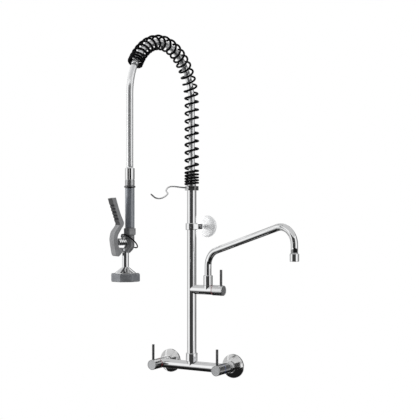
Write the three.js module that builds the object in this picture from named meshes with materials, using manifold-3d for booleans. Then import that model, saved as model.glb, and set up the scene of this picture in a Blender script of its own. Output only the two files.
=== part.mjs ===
// A commercial wall-mounted kitchen faucet: two quarter-turn inlet valves on a mixing bar, a tall riser
// with a swing spout and its own valve, and a spray gun on a hose that an overhead spring carries.
// Millimetres. +X is to the right seen from the front, +Y goes into the wall, +Z is up.
// The origin is on the wall face, midway between the two inlets, at the height of their axes.

import * as THREE from 'three';
import { mergeVertices } from 'three/addons/utils/BufferGeometryUtils.js';
import Module from 'manifold-3d';

const wasm = await Module();
wasm.setup();

// ---- Driving dimensions ----------------------------------------------------------------------------

const FIT = 0.3; // clearance where two pieces touch, slide or turn

const INLET_SPACING = 203.2; // 8 in between the hot and cold inlets
const STANDOFF = 54; // wall face to the axis of the bar and the riser

const ESCUTCHEON_RADIUS = 32.5;
const ESCUTCHEON_RIM = 5.5;
const ESCUTCHEON_RIM_WIDTH = 5;
const ESCUTCHEON_DEPTH = 20;
const ESCUTCHEON_TOP_RADIUS = 17;
const ESCUTCHEON_WALL = 1.8;

const INLET_THREAD_RADIUS = 10.4;
const INLET_THREAD_LENGTH = 14;
const INLET_BORE_RADIUS = 7;
const INLET_NECK_RADIUS = 12.7;
const INLET_FLANGE_START = 27;
const INLET_FLANGE_THICKNESS = 2.5;
const UNION_SPIGOT_RADIUS = 13.4;
const UNION_SPIGOT_LENGTH = 8;
const UNION_NUT_RADIUS = 15.5;
const UNION_NUT_LIP = 2.7;

const BARREL_RADIUS = 14;
const BARREL_FACE = 67; // wall face to the front face of each inlet valve body
const CHAMBER_RADIUS = 10;
const CHAMBER_DEPTH = 21;

const HEADWORK_HEX = 16.6; // across flats
const HEADWORK_HEAD_LENGTH = 5;
const HEADWORK_WINDOW_RADIUS = 3;
const HEADWORK_WINDOW_DEPTH = 15; // valve face to the middle of the side windows
const DISC_RADIUS = 4.7;
const DISC_THICKNESS = 2.7;
const SPINDLE_RADIUS = 4;
const SPINDLE_LENGTH = 27; // how far it stands out of the valve face
const SPINDLE_INSERTION = 10;

const RING_THICKNESS = 1.4;
const KNOB_RADIUS = 14;
const KNOB_LENGTH = 31;
const KNOB_CHAMFER = 0.8;
const KNOB_SKIRT_DEPTH = 5.5;
const PIN_SETBACK = 8.5; // knob front face to the axis of its lever pin
const PIN_RADIUS = 3.5;
const PIN_LENGTH = 42; // above the knob
const PIN_INSERTION = 7.7;
const GRUB_RADIUS = 1.6;
const GRUB_STANDOUT = 0.6;

const BAR_RADIUS = 12.7;
const BAR_BORE_RADIUS = 9;
const BAR_STUB_HEIGHT = 13;
const COLLAR_RADIUS = 14.4; // threaded collar inside the riser nut
const COLLAR_TOP = 22;
const RISER_NUT_RADIUS = 16;
const RISER_NUT_TOP = 35;

const RISER_RADIUS = 12.8;
const RISER_BORE_RADIUS = 11.2;
const RISER_FLARE_RADIUS = 14.4;
const RISER_FLARE_THICKNESS = 2;
const RISER_TOP = 486;

const BRANCH_HEIGHT = 210;
const BRANCH_FACE = 68; // riser axis to the front face of the spout valve
const BRANCH_BORE_RADIUS = 7.5;
const SWIVEL_OFFSET = 52; // riser axis to the swivel axis of the spout
const SWIVEL_PORT_RADIUS = 6;
const SWIVEL_COLLAR_RADIUS = 10.4;
const SWIVEL_COLLAR_HEIGHT = 11;
const SPOUT_NUT_RADIUS = 12.6;
const SPOUT_NUT_HEIGHT = 26.5;
const SPOUT_NUT_LIP = 6;

const SPOUT_ANGLE = -15; // degrees, from +X towards the front
const SPOUT_RADIUS = 9.2;
const SPOUT_BORE_RADIUS = 8;
const SPOUT_SIDES = 12;
const SPOUT_FLARE_THICKNESS = 1.5;
const SPOUT_LEG = 41.5; // swivel flare to the start of the first bend
const SPOUT_SLOPE = 16.5; // degrees, above the horizontal
const SPOUT_BEND_RADIUS = 44.5;
const SPOUT_REACH = 306;
const SPOUT_DROP = 31.5; // straight stretch between the second bend and the tube end
const AERATOR_RADIUS = 11.8;
const AERATOR_LENGTH = 19.5;
const AERATOR_OVERLAP = 10;
const AERATOR_HOLES = 8;
const AERATOR_HOLE_RADIUS = 1.3;
const AERATOR_HOLE_CIRCLE = 6;

const BRACKET_HEIGHT = 382;
const CLAMP_RADIUS = 17;
const CLAMP_WIDTH = 18.5;
const ROD_OFFSET = 18.5; // riser axis to the rod axis, along X
const ROD_RADIUS = 3.8;
const LUG_WALL = 3.6;
const LUG_FRONT = 9;
const LUG_BACK = 15;
const FLANGE_RADIUS = 30;
const FLANGE_RIM = 5;
const FLANGE_DEPTH = 11;
const FLANGE_BOSS_RADIUS = 7.2;
const FLANGE_BOSS_DEPTH = 17;
const CLAMP_SCREW_RADIUS = 2;
const CLAMP_SCREW_HEAD_RADIUS = 3.6;
const CLAMP_SCREW_HEAD_LENGTH = 3;

const TOP_NUT_HEX = 33; // across flats
const TOP_NUT_OVERLAP = 5; // how far the nut reaches down over the riser
const TOP_NUT_HEIGHT = 12.4;
const TAIL_LENGTH_BELOW = 20; // hose tail inside the riser, below the top nut's face
const TAIL_LENGTH_ABOVE = 24;
const TAIL_COLLAR_RADIUS = 12.2;
const TAIL_COLLAR_THICKNESS = 4;

const HOOK_WIRE_RADIUS = 2;
const HOOK_RISE = 6.2; // foot of the top nut to the wire in its side
// Hook centreline: distance in front of the riser axis, sideways, height above its hole in the nut.
const HOOK_ROUTE = [
  [14, 0, 0], [60, 0, 1.4], [104, 0, 2.6], [121, 0, -0.7], [130, 0, -8.7], [134, 6, -13.7],
  [140, 11.5, -17.2], [152, 12, -23.7], [166, 12, -28.2], [183, 12, -30.2], [200, 12, -28.2],
  [219, 12, -19.7],
];
const HOOK_STEPS = 26;

const HOSE_RADIUS = 8.5;
const HOSE_BORE_RADIUS = 5.5;
const HOSE_SIDES = 10;
const ARCH_RADIUS = 148; // hose centreline over the top
const ARCH_START = 716; // height where the hose leaves the vertical
const SPRING_END_ANGLE = 30; // degrees of arch left when the spring ends
const HOSE_STEP_ANGLE = 15;

const WIRE_RADIUS = 2.9;
const WIRE_SIDES = 5;
const CURL_STEPS = 8;
const SPRING_RADIUS = 17.6; // to the middle of the wire
// Coil spacing along the spring: share of the length, millimetres per turn.
const SPRING_PITCHES = [
  [0, 6.4], [0.045, 8.2], [0.056, 8.8], [0.068, 12.5], [0.085, 20.4], [0.1, 21.5], [0.36, 21.5],
  [0.4, 20.3], [0.6, 20.3], [0.66, 22.5], [0.7, 27], [0.77, 26], [0.83, 22.5], [0.88, 18], [0.9, 15.5],
  [0.95, 15.2], [0.962, 7.1], [1, 7.1],
];
const SPRING_LEAST_GAP = 0.4;

const SWING_RANGE = 25; // degrees that the hanging hose can lean

// Spray gun, from its top down.
const GUN_TOP = 531.5; // height at which the hose enters the swivel nut
const NUT_LENGTH = 43.5;
const NUT_RADIUS = 11.85;
const NUT_GROOVE_RISE = 14; // foot of the nut to its groove
const NUT_GROOVE_WIDTH = 1.6;
const NUT_GROOVE_DEPTH = 0.8;
const GUN_BORE_RADIUS = 5;
const GRIP_RING_THICKNESS = 5.2;
const GRIP_RING_RADIUS = 14;
const GRIP_STEM_RADIUS = 8;
const GRIP_STEM_LENGTH = 7;
const GRIP_RADIUS = 11.75;
const GRIP_LENGTH = 99.4;
const COLLAR_HEX = 28; // across flats
const COLLAR_HEIGHT = 17;
const BODY_RADIUS = 11.5;
const BODY_LENGTH = 78.7;
const BODY_TAPER_START = 30.2; // top of the valve body to where it starts to move aside
const BODY_TAPER_LENGTH = 17;
const OUTLET_OFFSET = 11.7; // from the grip axis towards the trigger
const OUTLET_RADIUS = 8.6;
const CONE_HEIGHT = 13.9;
const CONE_RIM = 1.5;
const CONE_RADIUS = 27.5;
const CONE_SPIGOT_LENGTH = 10;
const CONE_WALL = 2;
const BUMPER_RADIUS = 37.8;
const BUMPER_HEIGHT = 19.5;
const BUMPER_BEVEL = 1.5;
const SKIRT_RADIUS = 23.5;
const FACE_RECESS = 5.5;
const FACE_THICKNESS = 3.5;
const FACE_HOLE_RADIUS = 1;
const FACE_HOLE_CIRCLES = [[0, 1], [7, 4], [14, 8]]; // circle radius, holes on it

const PLUNGER_DROP = 16.2; // top of the valve body to the axis of the plunger
const PLUNGER_RADIUS = 3.5;
const PLUNGER_INNER_END = 0.5;
const BONNET_RADIUS = 9.2;
const BONNET_START = 11.8;
const BONNET_END = 33;
const BONNET_SPIGOT_RADIUS = 6.4;
const BONNET_GROOVES = 3;

const PIVOT_OFFSET = 22.5; // from the grip axis towards the trigger
const PIVOT_DROP = 35.8; // top of the valve body to the axis of the trigger pin
const PIVOT_PIN_RADIUS = 2;
const PIVOT_BOSS_RADIUS = 5;
const PIVOT_BOSS_WIDTH = 8;
const PIVOT_HEAD_RADIUS = 3.2;
const PIVOT_HEAD_THICKNESS = 1.5;
const TRIGGER_WIDTH = 26.5;
// Edges of the trigger seen from its side, from the tip down: distance in front of the pin, height above it.
const TRIGGER_FRONT = [
  [31, 126.5], [27.5, 114], [22.8, 99], [17.6, 84], [13.2, 70.5], [10.6, 64.5], [12.6, 58.5], [17.4, 52],
  [22.8, 44.5], [25.4, 36], [26.8, 26], [25.8, 15.9], [23.6, 3], [20.6, -11], [17.6, -15], [13, -15.8],
  [8.8, -12], [3, -4.8],
];
const TRIGGER_BACK = [
  [20.9, 128.4], [17.1, 116], [12.5, 101], [7.3, 86], [1.7, 73.5], [-0.7, 67.5], [0.1, 61], [4.6, 53.8],
  [9.8, 45.5], [14.4, 37.5], [16.4, 29], [15.8, 19], [13.6, 10.2], [10.6, 4.2], [7.5, 1.6], [4, 1.5],
];
const TRIGGER_STEPS = 24;
const TRIGGER_GROOVES = 5;
const TRIGGER_GROOVE_RADIUS = 1.9;
const TRIGGER_GROOVE_RISE = 109; // pin to the highest groove
const TRIGGER_GROOVE_SPACING = 8.2;

const STUD_RADIUS = 3.2;
const STUD_LENGTH = 12;
const STUD_LIP_RISE = 1.4;
const STUD_LIP_THICKNESS = 1.4;
const HOLD_WIRE_RADIUS = 1.7;
const HOLD_RING_HALF_WIDTH = 17;
const HOLD_RING_HALF_LENGTH = 25.5;
const HOLD_RING_TILT = 41; // degrees below the horizontal, towards the back
const HOLD_RING_ROLL = 12; // degrees about its length
const HOLD_RING_STEPS = 24;

const GUN_ANGLE = 240; // degrees from +X to the side where the trigger is
const SIDES = 16; // of a turned surface
const WIDE_SIDES = 24; // of an escutcheon, flange or knob
const SMALL_SIDES = 12;
const PORT_SIDES = 6;

// ---- Values that follow ----------------------------------------------------------------------------

const degrees = THREE.MathUtils.degToRad;
const hexRadius = (acrossFlats) => acrossFlats / Math.sqrt(3);

const UNION_SEAT = INLET_FLANGE_START + INLET_FLANGE_THICKNESS + FIT;
const BARREL_START = UNION_SEAT + UNION_SPIGOT_LENGTH;
const KNOB_START = RING_THICKNESS + 2 * FIT;
const PIN_PLACE = KNOB_START + KNOB_LENGTH - PIN_SETBACK;
const TOP_NUT_BOTTOM = RISER_TOP - TOP_NUT_OVERLAP;
const NUT_FACE = TOP_NUT_BOTTOM + TOP_NUT_HEIGHT;
const HOOK_HEIGHT = TOP_NUT_BOTTOM + HOOK_RISE;
const SWIVEL_SEAT = BRANCH_HEIGHT + RISER_RADIUS;
const SPOUT_FOOT = SWIVEL_SEAT + SWIVEL_COLLAR_HEIGHT + FIT;
const NUT_BOTTOM = GUN_TOP - NUT_LENGTH;
const GRIP_RING_BOTTOM = NUT_BOTTOM - FIT - GRIP_RING_THICKNESS;
const GRIP_TOP = GRIP_RING_BOTTOM - FIT;
const COLLAR_TOP_HEIGHT = GRIP_TOP - GRIP_LENGTH - FIT;
const COLLAR_BOTTOM = COLLAR_TOP_HEIGHT - COLLAR_HEIGHT;
const BODY_TOP = COLLAR_BOTTOM - FIT;
const BODY_TAPER_TOP = BODY_TOP - BODY_TAPER_START;
const BODY_TAPER_BOTTOM = BODY_TAPER_TOP - BODY_TAPER_LENGTH;
const STUD_HEIGHT = BODY_TOP - STUD_RADIUS;
const PLUNGER_HEIGHT = BODY_TOP - PLUNGER_DROP;
const PIVOT_HEIGHT = BODY_TOP - PIVOT_DROP;
const CONE_TOP = BODY_TOP - BODY_LENGTH - FIT;
const CONE_BOTTOM = CONE_TOP - CONE_HEIGHT;
const BUMPER_TOP = CONE_BOTTOM - CONE_RIM - FIT;
const BUMPER_BOTTOM = BUMPER_TOP - BUMPER_HEIGHT;
const ARCH_REACH = 2 * ARCH_RADIUS;
const SPRING_FOOT = NUT_FACE + FIT;
const HOSE_FOOT = NUT_FACE + TAIL_LENGTH_ABOVE + FIT;

// ---- Finishes --------------------------------------------------------------------------------------

const finish = (color, roughness, metalness) => () =>
  new THREE.MeshStandardMaterial({ color, roughness, metalness });

const chrome = finish(0xd9dcdf, 0.1, 1);
const satinSteel = finish(0xb9bcc0, 0.3, 1);
const brass = finish(0xb59a5b, 0.35, 1);
const castAlloy = finish(0x7d7f82, 0.45, 0.7);
const blackWire = finish(0x17181a, 0.4, 0.3);
const greyRubber = finish(0x55585c, 0.75, 0);
const gripPlastic = finish(0x9aa0a8, 0.35, 0);
const hosePlastic = finish(0xc7cacd, 0.3, 0.2);
const nylon = finish(0xf0efe9, 0.5, 0);
const redEnamel = finish(0xa62b30, 0.4, 0);
const blueEnamel = finish(0x2c55a6, 0.4, 0);
const darkRedEnamel = finish(0x7c2a35, 0.4, 0);

// ---- Shape helpers ---------------------------------------------------------------------------------

// A closed three.js geometry as a solid.
function solid(geometry) {
  const bare = geometry.clone();
  bare.deleteAttribute('normal');
  bare.deleteAttribute('uv');
  const merged = mergeVertices(bare, 1e-4);
  const corners = [];
  for (let i = 0; i < merged.index.count; i += 3) {
    const [a, b, c] = [0, 1, 2].map((k) => merged.index.getX(i + k));
    if (a !== b && b !== c && c !== a) corners.push(a, b, c);
  }
  const vertProperties = new Float32Array(merged.attributes.position.array);
  const mesh = new wasm.Mesh({ numProp: 3, vertProperties, triVerts: new Uint32Array(corners) });
  return new wasm.Manifold(mesh);
}

// A solid as a three.js geometry again.
function surface(shape) {
  const { vertProperties, triVerts } = shape.getMesh();
  const geometry = new THREE.BufferGeometry();
  geometry.setAttribute('position', new THREE.BufferAttribute(vertProperties, 3));
  geometry.setIndex(new THREE.BufferAttribute(triVerts, 1));
  geometry.computeVertexNormals();
  return geometry;
}

const join = (...parts) => parts.map(solid).reduce((whole, part) => whole.add(part));
const cut = (shape, ...tools) => tools.map(solid).reduce((whole, tool) => whole.subtract(tool), shape);

// A profile of [radius, height] points turned about the Z axis.
function turned(profile, sides = SIDES) {
  const points = profile.map(([r, z]) => new THREE.Vector2(r, z));
  return new THREE.LatheGeometry(points, sides).rotateX(Math.PI / 2);
}

const rod = (radius, from, to, sides) => turned([[0, from], [radius, from], [radius, to], [0, to]], sides);

function chamferedRod(radius, from, to, chamfer, sides) {
  const inner = radius - chamfer;
  return turned([
    [0, from], [inner, from], [radius, from + chamfer], [radius, to - chamfer], [inner, to], [0, to],
  ], sides);
}

function pipe(outer, inner, from, to, sides) {
  return turned([[inner, from], [outer, from], [outer, to], [inner, to], [inner, from]], sides);
}

const alongX = (geometry) => geometry.rotateY(Math.PI / 2);
const alongY = (geometry) => geometry.rotateX(-Math.PI / 2);

function block(from, to) {
  const size = to.map((value, i) => value - from[i]);
  return new THREE.BoxGeometry(...size).translate(...from.map((value, i) => value + size[i] / 2));
}

// A route that steps exactly from point to point, so a straight stretch costs one step. An end that
// meets another piece is square to the direction given for it.
class Route extends THREE.Curve {
  constructor(points, ends) {
    super();
    this.points = points;
    this.ends = ends;
  }

  getTangent(t, target = new THREE.Vector3()) {
    if (t === 0 && this.ends.start) return target.copy(this.ends.start);
    if (t === 1 && this.ends.finish) return target.copy(this.ends.finish);
    return super.getTangent(t, target);
  }

  getPoint(t, target = new THREE.Vector3()) {
    const place = t * (this.points.length - 1);
    const index = Math.min(Math.floor(place), this.points.length - 2);
    return target.lerpVectors(this.points[index], this.points[index + 1], place - index);
  }

  getUtoTmapping(u) {
    return u;
  }
}

function ringOutline(radius, sides) {
  return Array.from({ length: sides }, (_, i) => {
    const angle = (2 * Math.PI * i) / sides;
    return new THREE.Vector2(radius * Math.cos(angle), radius * Math.sin(angle));
  });
}

// A tube of round section along a route, with a bore where one is given.
function tubeAlong(points, radius, bore, sides, ends = {}) {
  const section = new THREE.Shape(ringOutline(radius, sides));
  if (bore) section.holes.push(new THREE.Path(ringOutline(bore, sides).reverse()));
  const route = new Route(points, ends);
  return new THREE.ExtrudeGeometry(section, { steps: points.length - 1, extrudePath: route });
}

// Points on a circular arc: centre, two directions, radius and angles in degrees.
function arcPoints(centre, right, up, radius, from, to, steps) {
  return Array.from({ length: steps + 1 }, (_, i) => {
    const angle = degrees(from + ((to - from) * i) / steps);
    const point = centre.clone().addScaledVector(right, radius * Math.cos(angle));
    return point.addScaledVector(up, radius * Math.sin(angle));
  });
}

// A thin wire as rings of points joined in order; a loop joins its last ring to its first.
function wireAlong(centres, radius, sides, isLoop) {
  const count = centres.length;
  const at = (i) => centres[isLoop ? (i + count) % count : THREE.MathUtils.clamp(i, 0, count - 1)];
  const positions = [];
  const normal = new THREE.Vector3(0, 1, 0).cross(at(1).clone().sub(at(0))).normalize();
  for (let i = 0; i < count; i += 1) {
    const tangent = at(i + 1).clone().sub(at(i - 1)).normalize();
    normal.addScaledVector(tangent, -normal.dot(tangent)).normalize();
    const side = tangent.clone().cross(normal);
    for (let k = 0; k < sides; k += 1) {
      const angle = (2 * Math.PI * k) / sides;
      const point = at(i).clone().addScaledVector(normal, radius * Math.cos(angle));
      positions.push(...point.addScaledVector(side, radius * Math.sin(angle)).toArray());
    }
  }
  const faces = [];
  const corner = (ring, k) => (ring % count) * sides + (k % sides);
  for (let i = 0; i < (isLoop ? count : count - 1); i += 1) {
    for (let k = 0; k < sides; k += 1) {
      faces.push(corner(i, k), corner(i, k + 1), corner(i + 1, k + 1));
      faces.push(corner(i, k), corner(i + 1, k + 1), corner(i + 1, k));
    }
  }
  if (!isLoop) {
    for (let k = 1; k < sides - 1; k += 1) {
      faces.push(corner(0, 0), corner(0, k + 1), corner(0, k));
      faces.push(corner(count - 1, 0), corner(count - 1, k), corner(count - 1, k + 1));
    }
  }
  const geometry = new THREE.BufferGeometry();
  geometry.setAttribute('position', new THREE.Float32BufferAttribute(positions, 3));
  geometry.setIndex(faces);
  return geometry;
}

function addPiece(group, name, material, shape) {
  const geometry = shape.isBufferGeometry ? surface(solid(shape)) : surface(shape);
  const mesh = new THREE.Mesh(geometry, material());
  mesh.name = name;
  group.add(mesh);
}

function addGroup(parent, position, rotation = [0, 0, 0], order = 'XYZ') {
  const group = new THREE.Group();
  group.position.set(...position);
  group.rotation.set(...rotation, order);
  parent.add(group);
  return group;
}

// ---- Quarter-turn valve: local +Z comes out of the valve face, local +Y is up ----------------------

// The side windows lie across the port: along local X, or along local Y where the port is above.
function headwork(portIsAbove) {
  const body = turned([
    [SPINDLE_RADIUS + FIT, -SPINDLE_INSERTION], [DISC_RADIUS + FIT, -SPINDLE_INSERTION],
    [DISC_RADIUS + FIT, FIT - CHAMBER_DEPTH], [CHAMBER_RADIUS - FIT, FIT - CHAMBER_DEPTH],
    [CHAMBER_RADIUS - FIT, 0], [SPINDLE_RADIUS + FIT, 0], [SPINDLE_RADIUS + FIT, -SPINDLE_INSERTION],
  ]);
  const head = turned([
    [SPINDLE_RADIUS + FIT, -1], [hexRadius(HEADWORK_HEX), -1],
    [hexRadius(HEADWORK_HEX), HEADWORK_HEAD_LENGTH], [SPINDLE_RADIUS + FIT, HEADWORK_HEAD_LENGTH],
    [SPINDLE_RADIUS + FIT, -1],
  ], 6);
  const bore = rod(SPINDLE_RADIUS + FIT, -2, HEADWORK_HEAD_LENGTH + 1, SMALL_SIDES);
  const window = rod(HEADWORK_WINDOW_RADIUS, -CHAMBER_RADIUS, CHAMBER_RADIUS, PORT_SIDES);
  const turnedWindow = portIsAbove ? alongY(window) : alongX(window);
  return cut(join(body, head), bore, turnedWindow.translate(0, 0, -HEADWORK_WINDOW_DEPTH));
}

function spindle() {
  const discTop = -SPINDLE_INSERTION - FIT;
  return turned([
    [0, discTop - DISC_THICKNESS], [DISC_RADIUS, discTop - DISC_THICKNESS], [DISC_RADIUS, discTop],
    [SPINDLE_RADIUS - FIT, discTop], [SPINDLE_RADIUS - FIT, SPINDLE_LENGTH], [0, SPINDLE_LENGTH],
  ], SMALL_SIDES);
}

function knob() {
  const end = KNOB_START + KNOB_LENGTH;
  const skirtEnd = KNOB_START + KNOB_SKIRT_DEPTH;
  const skirtRadius = hexRadius(HEADWORK_HEX) + 3 * FIT;
  const boreEnd = SPINDLE_LENGTH + FIT;
  const body = solid(turned([
    [0, boreEnd], [SPINDLE_RADIUS, boreEnd], [SPINDLE_RADIUS, skirtEnd], [skirtRadius, skirtEnd],
    [skirtRadius, KNOB_START], [KNOB_RADIUS, KNOB_START], [KNOB_RADIUS, end - KNOB_CHAMFER],
    [KNOB_RADIUS - KNOB_CHAMFER, end], [0, end],
  ], WIDE_SIDES));
  const pinHole = rod(PIN_RADIUS + FIT, KNOB_RADIUS - PIN_INSERTION - FIT, 2 * KNOB_RADIUS, SMALL_SIDES);
  const grubHole = rod(GRUB_RADIUS + FIT, -2 * KNOB_RADIUS, 0, SMALL_SIDES);
  return cut(body, alongY(pinHole).translate(0, 0, PIN_PLACE), alongY(grubHole).translate(0, 0, PIN_PLACE));
}

function leverPin() {
  const pin = chamferedRod(PIN_RADIUS, KNOB_RADIUS - PIN_INSERTION, KNOB_RADIUS + PIN_LENGTH, 0.5, 16);
  return alongY(pin).translate(0, 0, PIN_PLACE);
}

function grubScrew() {
  const screw = rod(GRUB_RADIUS, -KNOB_RADIUS - GRUB_STANDOUT, -SPINDLE_RADIUS, SMALL_SIDES);
  return alongY(screw).translate(0, 0, PIN_PLACE);
}

function addValve(group, label, ringMaterial, portIsAbove) {
  const ring = pipe(KNOB_RADIUS, hexRadius(HEADWORK_HEX) + 2 * FIT, FIT, FIT + RING_THICKNESS);
  addPiece(group, `${label}_headwork`, brass, headwork(portIsAbove));
  addPiece(group, `${label}_spindle`, brass, spindle());
  addPiece(group, `${label}_indicator_ring`, ringMaterial, ring);
  addPiece(group, `${label}_knob`, chrome, knob());
  addPiece(group, `${label}_lever_pin`, chrome, leverPin());
  addPiece(group, `${label}_grub_screw`, satinSteel, grubScrew());
}

// ---- Wall inlet: local +Z comes out of the wall ----------------------------------------------------

function escutcheon() {
  const bore = INLET_NECK_RADIUS + FIT;
  const rimInner = ESCUTCHEON_RADIUS - ESCUTCHEON_RIM_WIDTH;
  return turned([
    [rimInner, 0], [ESCUTCHEON_RADIUS, 0], [ESCUTCHEON_RADIUS, ESCUTCHEON_RIM],
    [ESCUTCHEON_RADIUS - 1, ESCUTCHEON_RIM + 1], [ESCUTCHEON_TOP_RADIUS, ESCUTCHEON_DEPTH],
    [bore, ESCUTCHEON_DEPTH], [bore, ESCUTCHEON_DEPTH - ESCUTCHEON_WALL],
    [ESCUTCHEON_TOP_RADIUS - 1, ESCUTCHEON_DEPTH - ESCUTCHEON_WALL], [rimInner, ESCUTCHEON_RIM + 1],
    [rimInner, 0],
  ], WIDE_SIDES);
}

function inletConnector() {
  const end = UNION_SEAT - FIT;
  return turned([
    [INLET_BORE_RADIUS, -INLET_THREAD_LENGTH], [INLET_THREAD_RADIUS, -INLET_THREAD_LENGTH],
    [INLET_THREAD_RADIUS, 0], [INLET_NECK_RADIUS, 0], [INLET_NECK_RADIUS, INLET_FLANGE_START],
    [UNION_SPIGOT_RADIUS, INLET_FLANGE_START], [UNION_SPIGOT_RADIUS, end], [INLET_BORE_RADIUS, end],
    [INLET_BORE_RADIUS, -INLET_THREAD_LENGTH],
  ]);
}

function unionNut() {
  const shoulder = INLET_FLANGE_START - FIT;
  const back = shoulder - UNION_NUT_LIP;
  const front = BARREL_START - FIT;
  const chamfer = 0.8;
  return turned([
    [INLET_NECK_RADIUS + FIT, back], [UNION_NUT_RADIUS - chamfer, back], [UNION_NUT_RADIUS, back + chamfer],
    [UNION_NUT_RADIUS, front - chamfer], [UNION_NUT_RADIUS - chamfer, front],
    [UNION_SPIGOT_RADIUS + FIT, front], [UNION_SPIGOT_RADIUS + FIT, shoulder],
    [INLET_NECK_RADIUS + FIT, shoulder], [INLET_NECK_RADIUS + FIT, back],
  ]);
}

// The side port faces the bar: side is +1 for the left valve and -1 for the right one.
function inletValveBody(side) {
  const chamberEnd = BARREL_FACE - CHAMBER_DEPTH;
  const barrel = solid(turned([
    [INLET_BORE_RADIUS, UNION_SEAT], [UNION_SPIGOT_RADIUS, UNION_SEAT], [UNION_SPIGOT_RADIUS, BARREL_START],
    [BARREL_RADIUS, BARREL_START], [BARREL_RADIUS, BARREL_FACE], [CHAMBER_RADIUS, BARREL_FACE],
    [CHAMBER_RADIUS, chamberEnd], [INLET_BORE_RADIUS, chamberEnd], [INLET_BORE_RADIUS, UNION_SEAT],
  ]));
  const port = alongX(rod(BAR_BORE_RADIUS - 1, 0, 2 * BARREL_RADIUS, SMALL_SIDES));
  if (side < 0) port.rotateZ(Math.PI);
  return cut(barrel, port.translate(0, 0, STANDOFF));
}

function addInlet(faucet, label, side, ringMaterial) {
  const inlet = addGroup(faucet, [(-side * INLET_SPACING) / 2, 0, 0], [Math.PI / 2, 0, 0]);
  addPiece(inlet, `${label}_escutcheon`, chrome, escutcheon());
  addPiece(inlet, `${label}_inlet_connector`, chrome, inletConnector());
  addPiece(inlet, `${label}_union_nut`, chrome, unionNut());
  addPiece(inlet, `${label}_valve_body`, chrome, inletValveBody(side));
  addValve(addGroup(inlet, [0, 0, BARREL_FACE]), label, ringMaterial, false);
}

// ---- Mixing bar, riser and spout branch: origin of the group on the riser axis ---------------------

function mixingBar() {
  const end = INLET_SPACING / 2 - BARREL_RADIUS / 2 + 1;
  const nutRoom = BAR_STUB_HEIGHT + FIT;
  const whole = join(
    alongX(rod(BAR_RADIUS, -end, end)),
    rod(BAR_RADIUS, 0, BAR_STUB_HEIGHT),
    rod(COLLAR_RADIUS, BAR_STUB_HEIGHT, COLLAR_TOP),
  );
  const seat = (x) => alongY(rod(BARREL_RADIUS + FIT, -STANDOFF, STANDOFF)).translate(x, 0, 0);
  return cut(whole,
    alongX(rod(BAR_BORE_RADIUS, -end - 1, end + 1)),
    rod(BAR_BORE_RADIUS, 0, nutRoom + COLLAR_TOP),
    seat(-INLET_SPACING / 2), seat(INLET_SPACING / 2));
}

function riserNut() {
  const bottom = BAR_STUB_HEIGHT + FIT;
  const shoulder = COLLAR_TOP + RISER_FLARE_THICKNESS + 2 * FIT;
  const chamfer = 1;
  return turned([
    [COLLAR_RADIUS + FIT, bottom], [RISER_NUT_RADIUS, bottom], [RISER_NUT_RADIUS, RISER_NUT_TOP - chamfer],
    [RISER_NUT_RADIUS - chamfer, RISER_NUT_TOP], [RISER_RADIUS + FIT, RISER_NUT_TOP],
    [RISER_RADIUS + FIT, shoulder], [COLLAR_RADIUS + FIT, shoulder], [COLLAR_RADIUS + FIT, bottom],
  ]);
}

function riser() {
  const foot = COLLAR_TOP + FIT;
  const flareTop = foot + RISER_FLARE_THICKNESS;
  const tube = solid(turned([
    [RISER_BORE_RADIUS, foot], [RISER_FLARE_RADIUS, foot], [RISER_FLARE_RADIUS, flareTop],
    [RISER_RADIUS, flareTop], [RISER_RADIUS, RISER_TOP], [RISER_BORE_RADIUS, RISER_TOP],
    [RISER_BORE_RADIUS, foot],
  ]));
  const port = alongX(rod(BRANCH_BORE_RADIUS, 0, 2 * RISER_RADIUS, SMALL_SIDES));
  return cut(tube, port.translate(0, 0, BRANCH_HEIGHT));
}

function spoutBranch() {
  const collarTop = RISER_RADIUS + SWIVEL_COLLAR_HEIGHT;
  const whole = join(
    alongX(rod(RISER_RADIUS, 1, BRANCH_FACE)),
    rod(RISER_RADIUS, 0, RISER_RADIUS).translate(SWIVEL_OFFSET, 0, 0),
    rod(SWIVEL_COLLAR_RADIUS, RISER_RADIUS, collarTop).translate(SWIVEL_OFFSET, 0, 0),
  );
  return cut(whole,
    rod(RISER_RADIUS + FIT, -2 * RISER_RADIUS, 2 * RISER_RADIUS),
    alongX(rod(BRANCH_BORE_RADIUS, 0, BRANCH_FACE)),
    alongX(rod(CHAMBER_RADIUS, BRANCH_FACE - CHAMBER_DEPTH, BRANCH_FACE + 1)),
    rod(SWIVEL_PORT_RADIUS, 0, SPOUT_FOOT).translate(SWIVEL_OFFSET, 0, 0));
}

// ---- Swing spout: origin of the group on the swivel axis, the spout goes towards local +X ----------

function spoutNut() {
  const bottom = SWIVEL_SEAT + FIT;
  const top = bottom + SPOUT_NUT_HEIGHT;
  const chamfer = 0.8;
  return turned([
    [SWIVEL_COLLAR_RADIUS + FIT, bottom], [SPOUT_NUT_RADIUS, bottom], [SPOUT_NUT_RADIUS, top - chamfer],
    [SPOUT_NUT_RADIUS - chamfer, top], [SPOUT_RADIUS + FIT, top], [SPOUT_RADIUS + FIT, top - SPOUT_NUT_LIP],
    [SWIVEL_COLLAR_RADIUS + FIT, top - SPOUT_NUT_LIP], [SWIVEL_COLLAR_RADIUS + FIT, bottom],
  ]);
}

function spoutBushing() {
  const bottom = SPOUT_FOOT + SPOUT_FLARE_THICKNESS + FIT;
  const top = SWIVEL_SEAT + SPOUT_NUT_HEIGHT - SPOUT_NUT_LIP;
  return pipe(SWIVEL_COLLAR_RADIUS, SPOUT_RADIUS + FIT, bottom, top);
}

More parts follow.
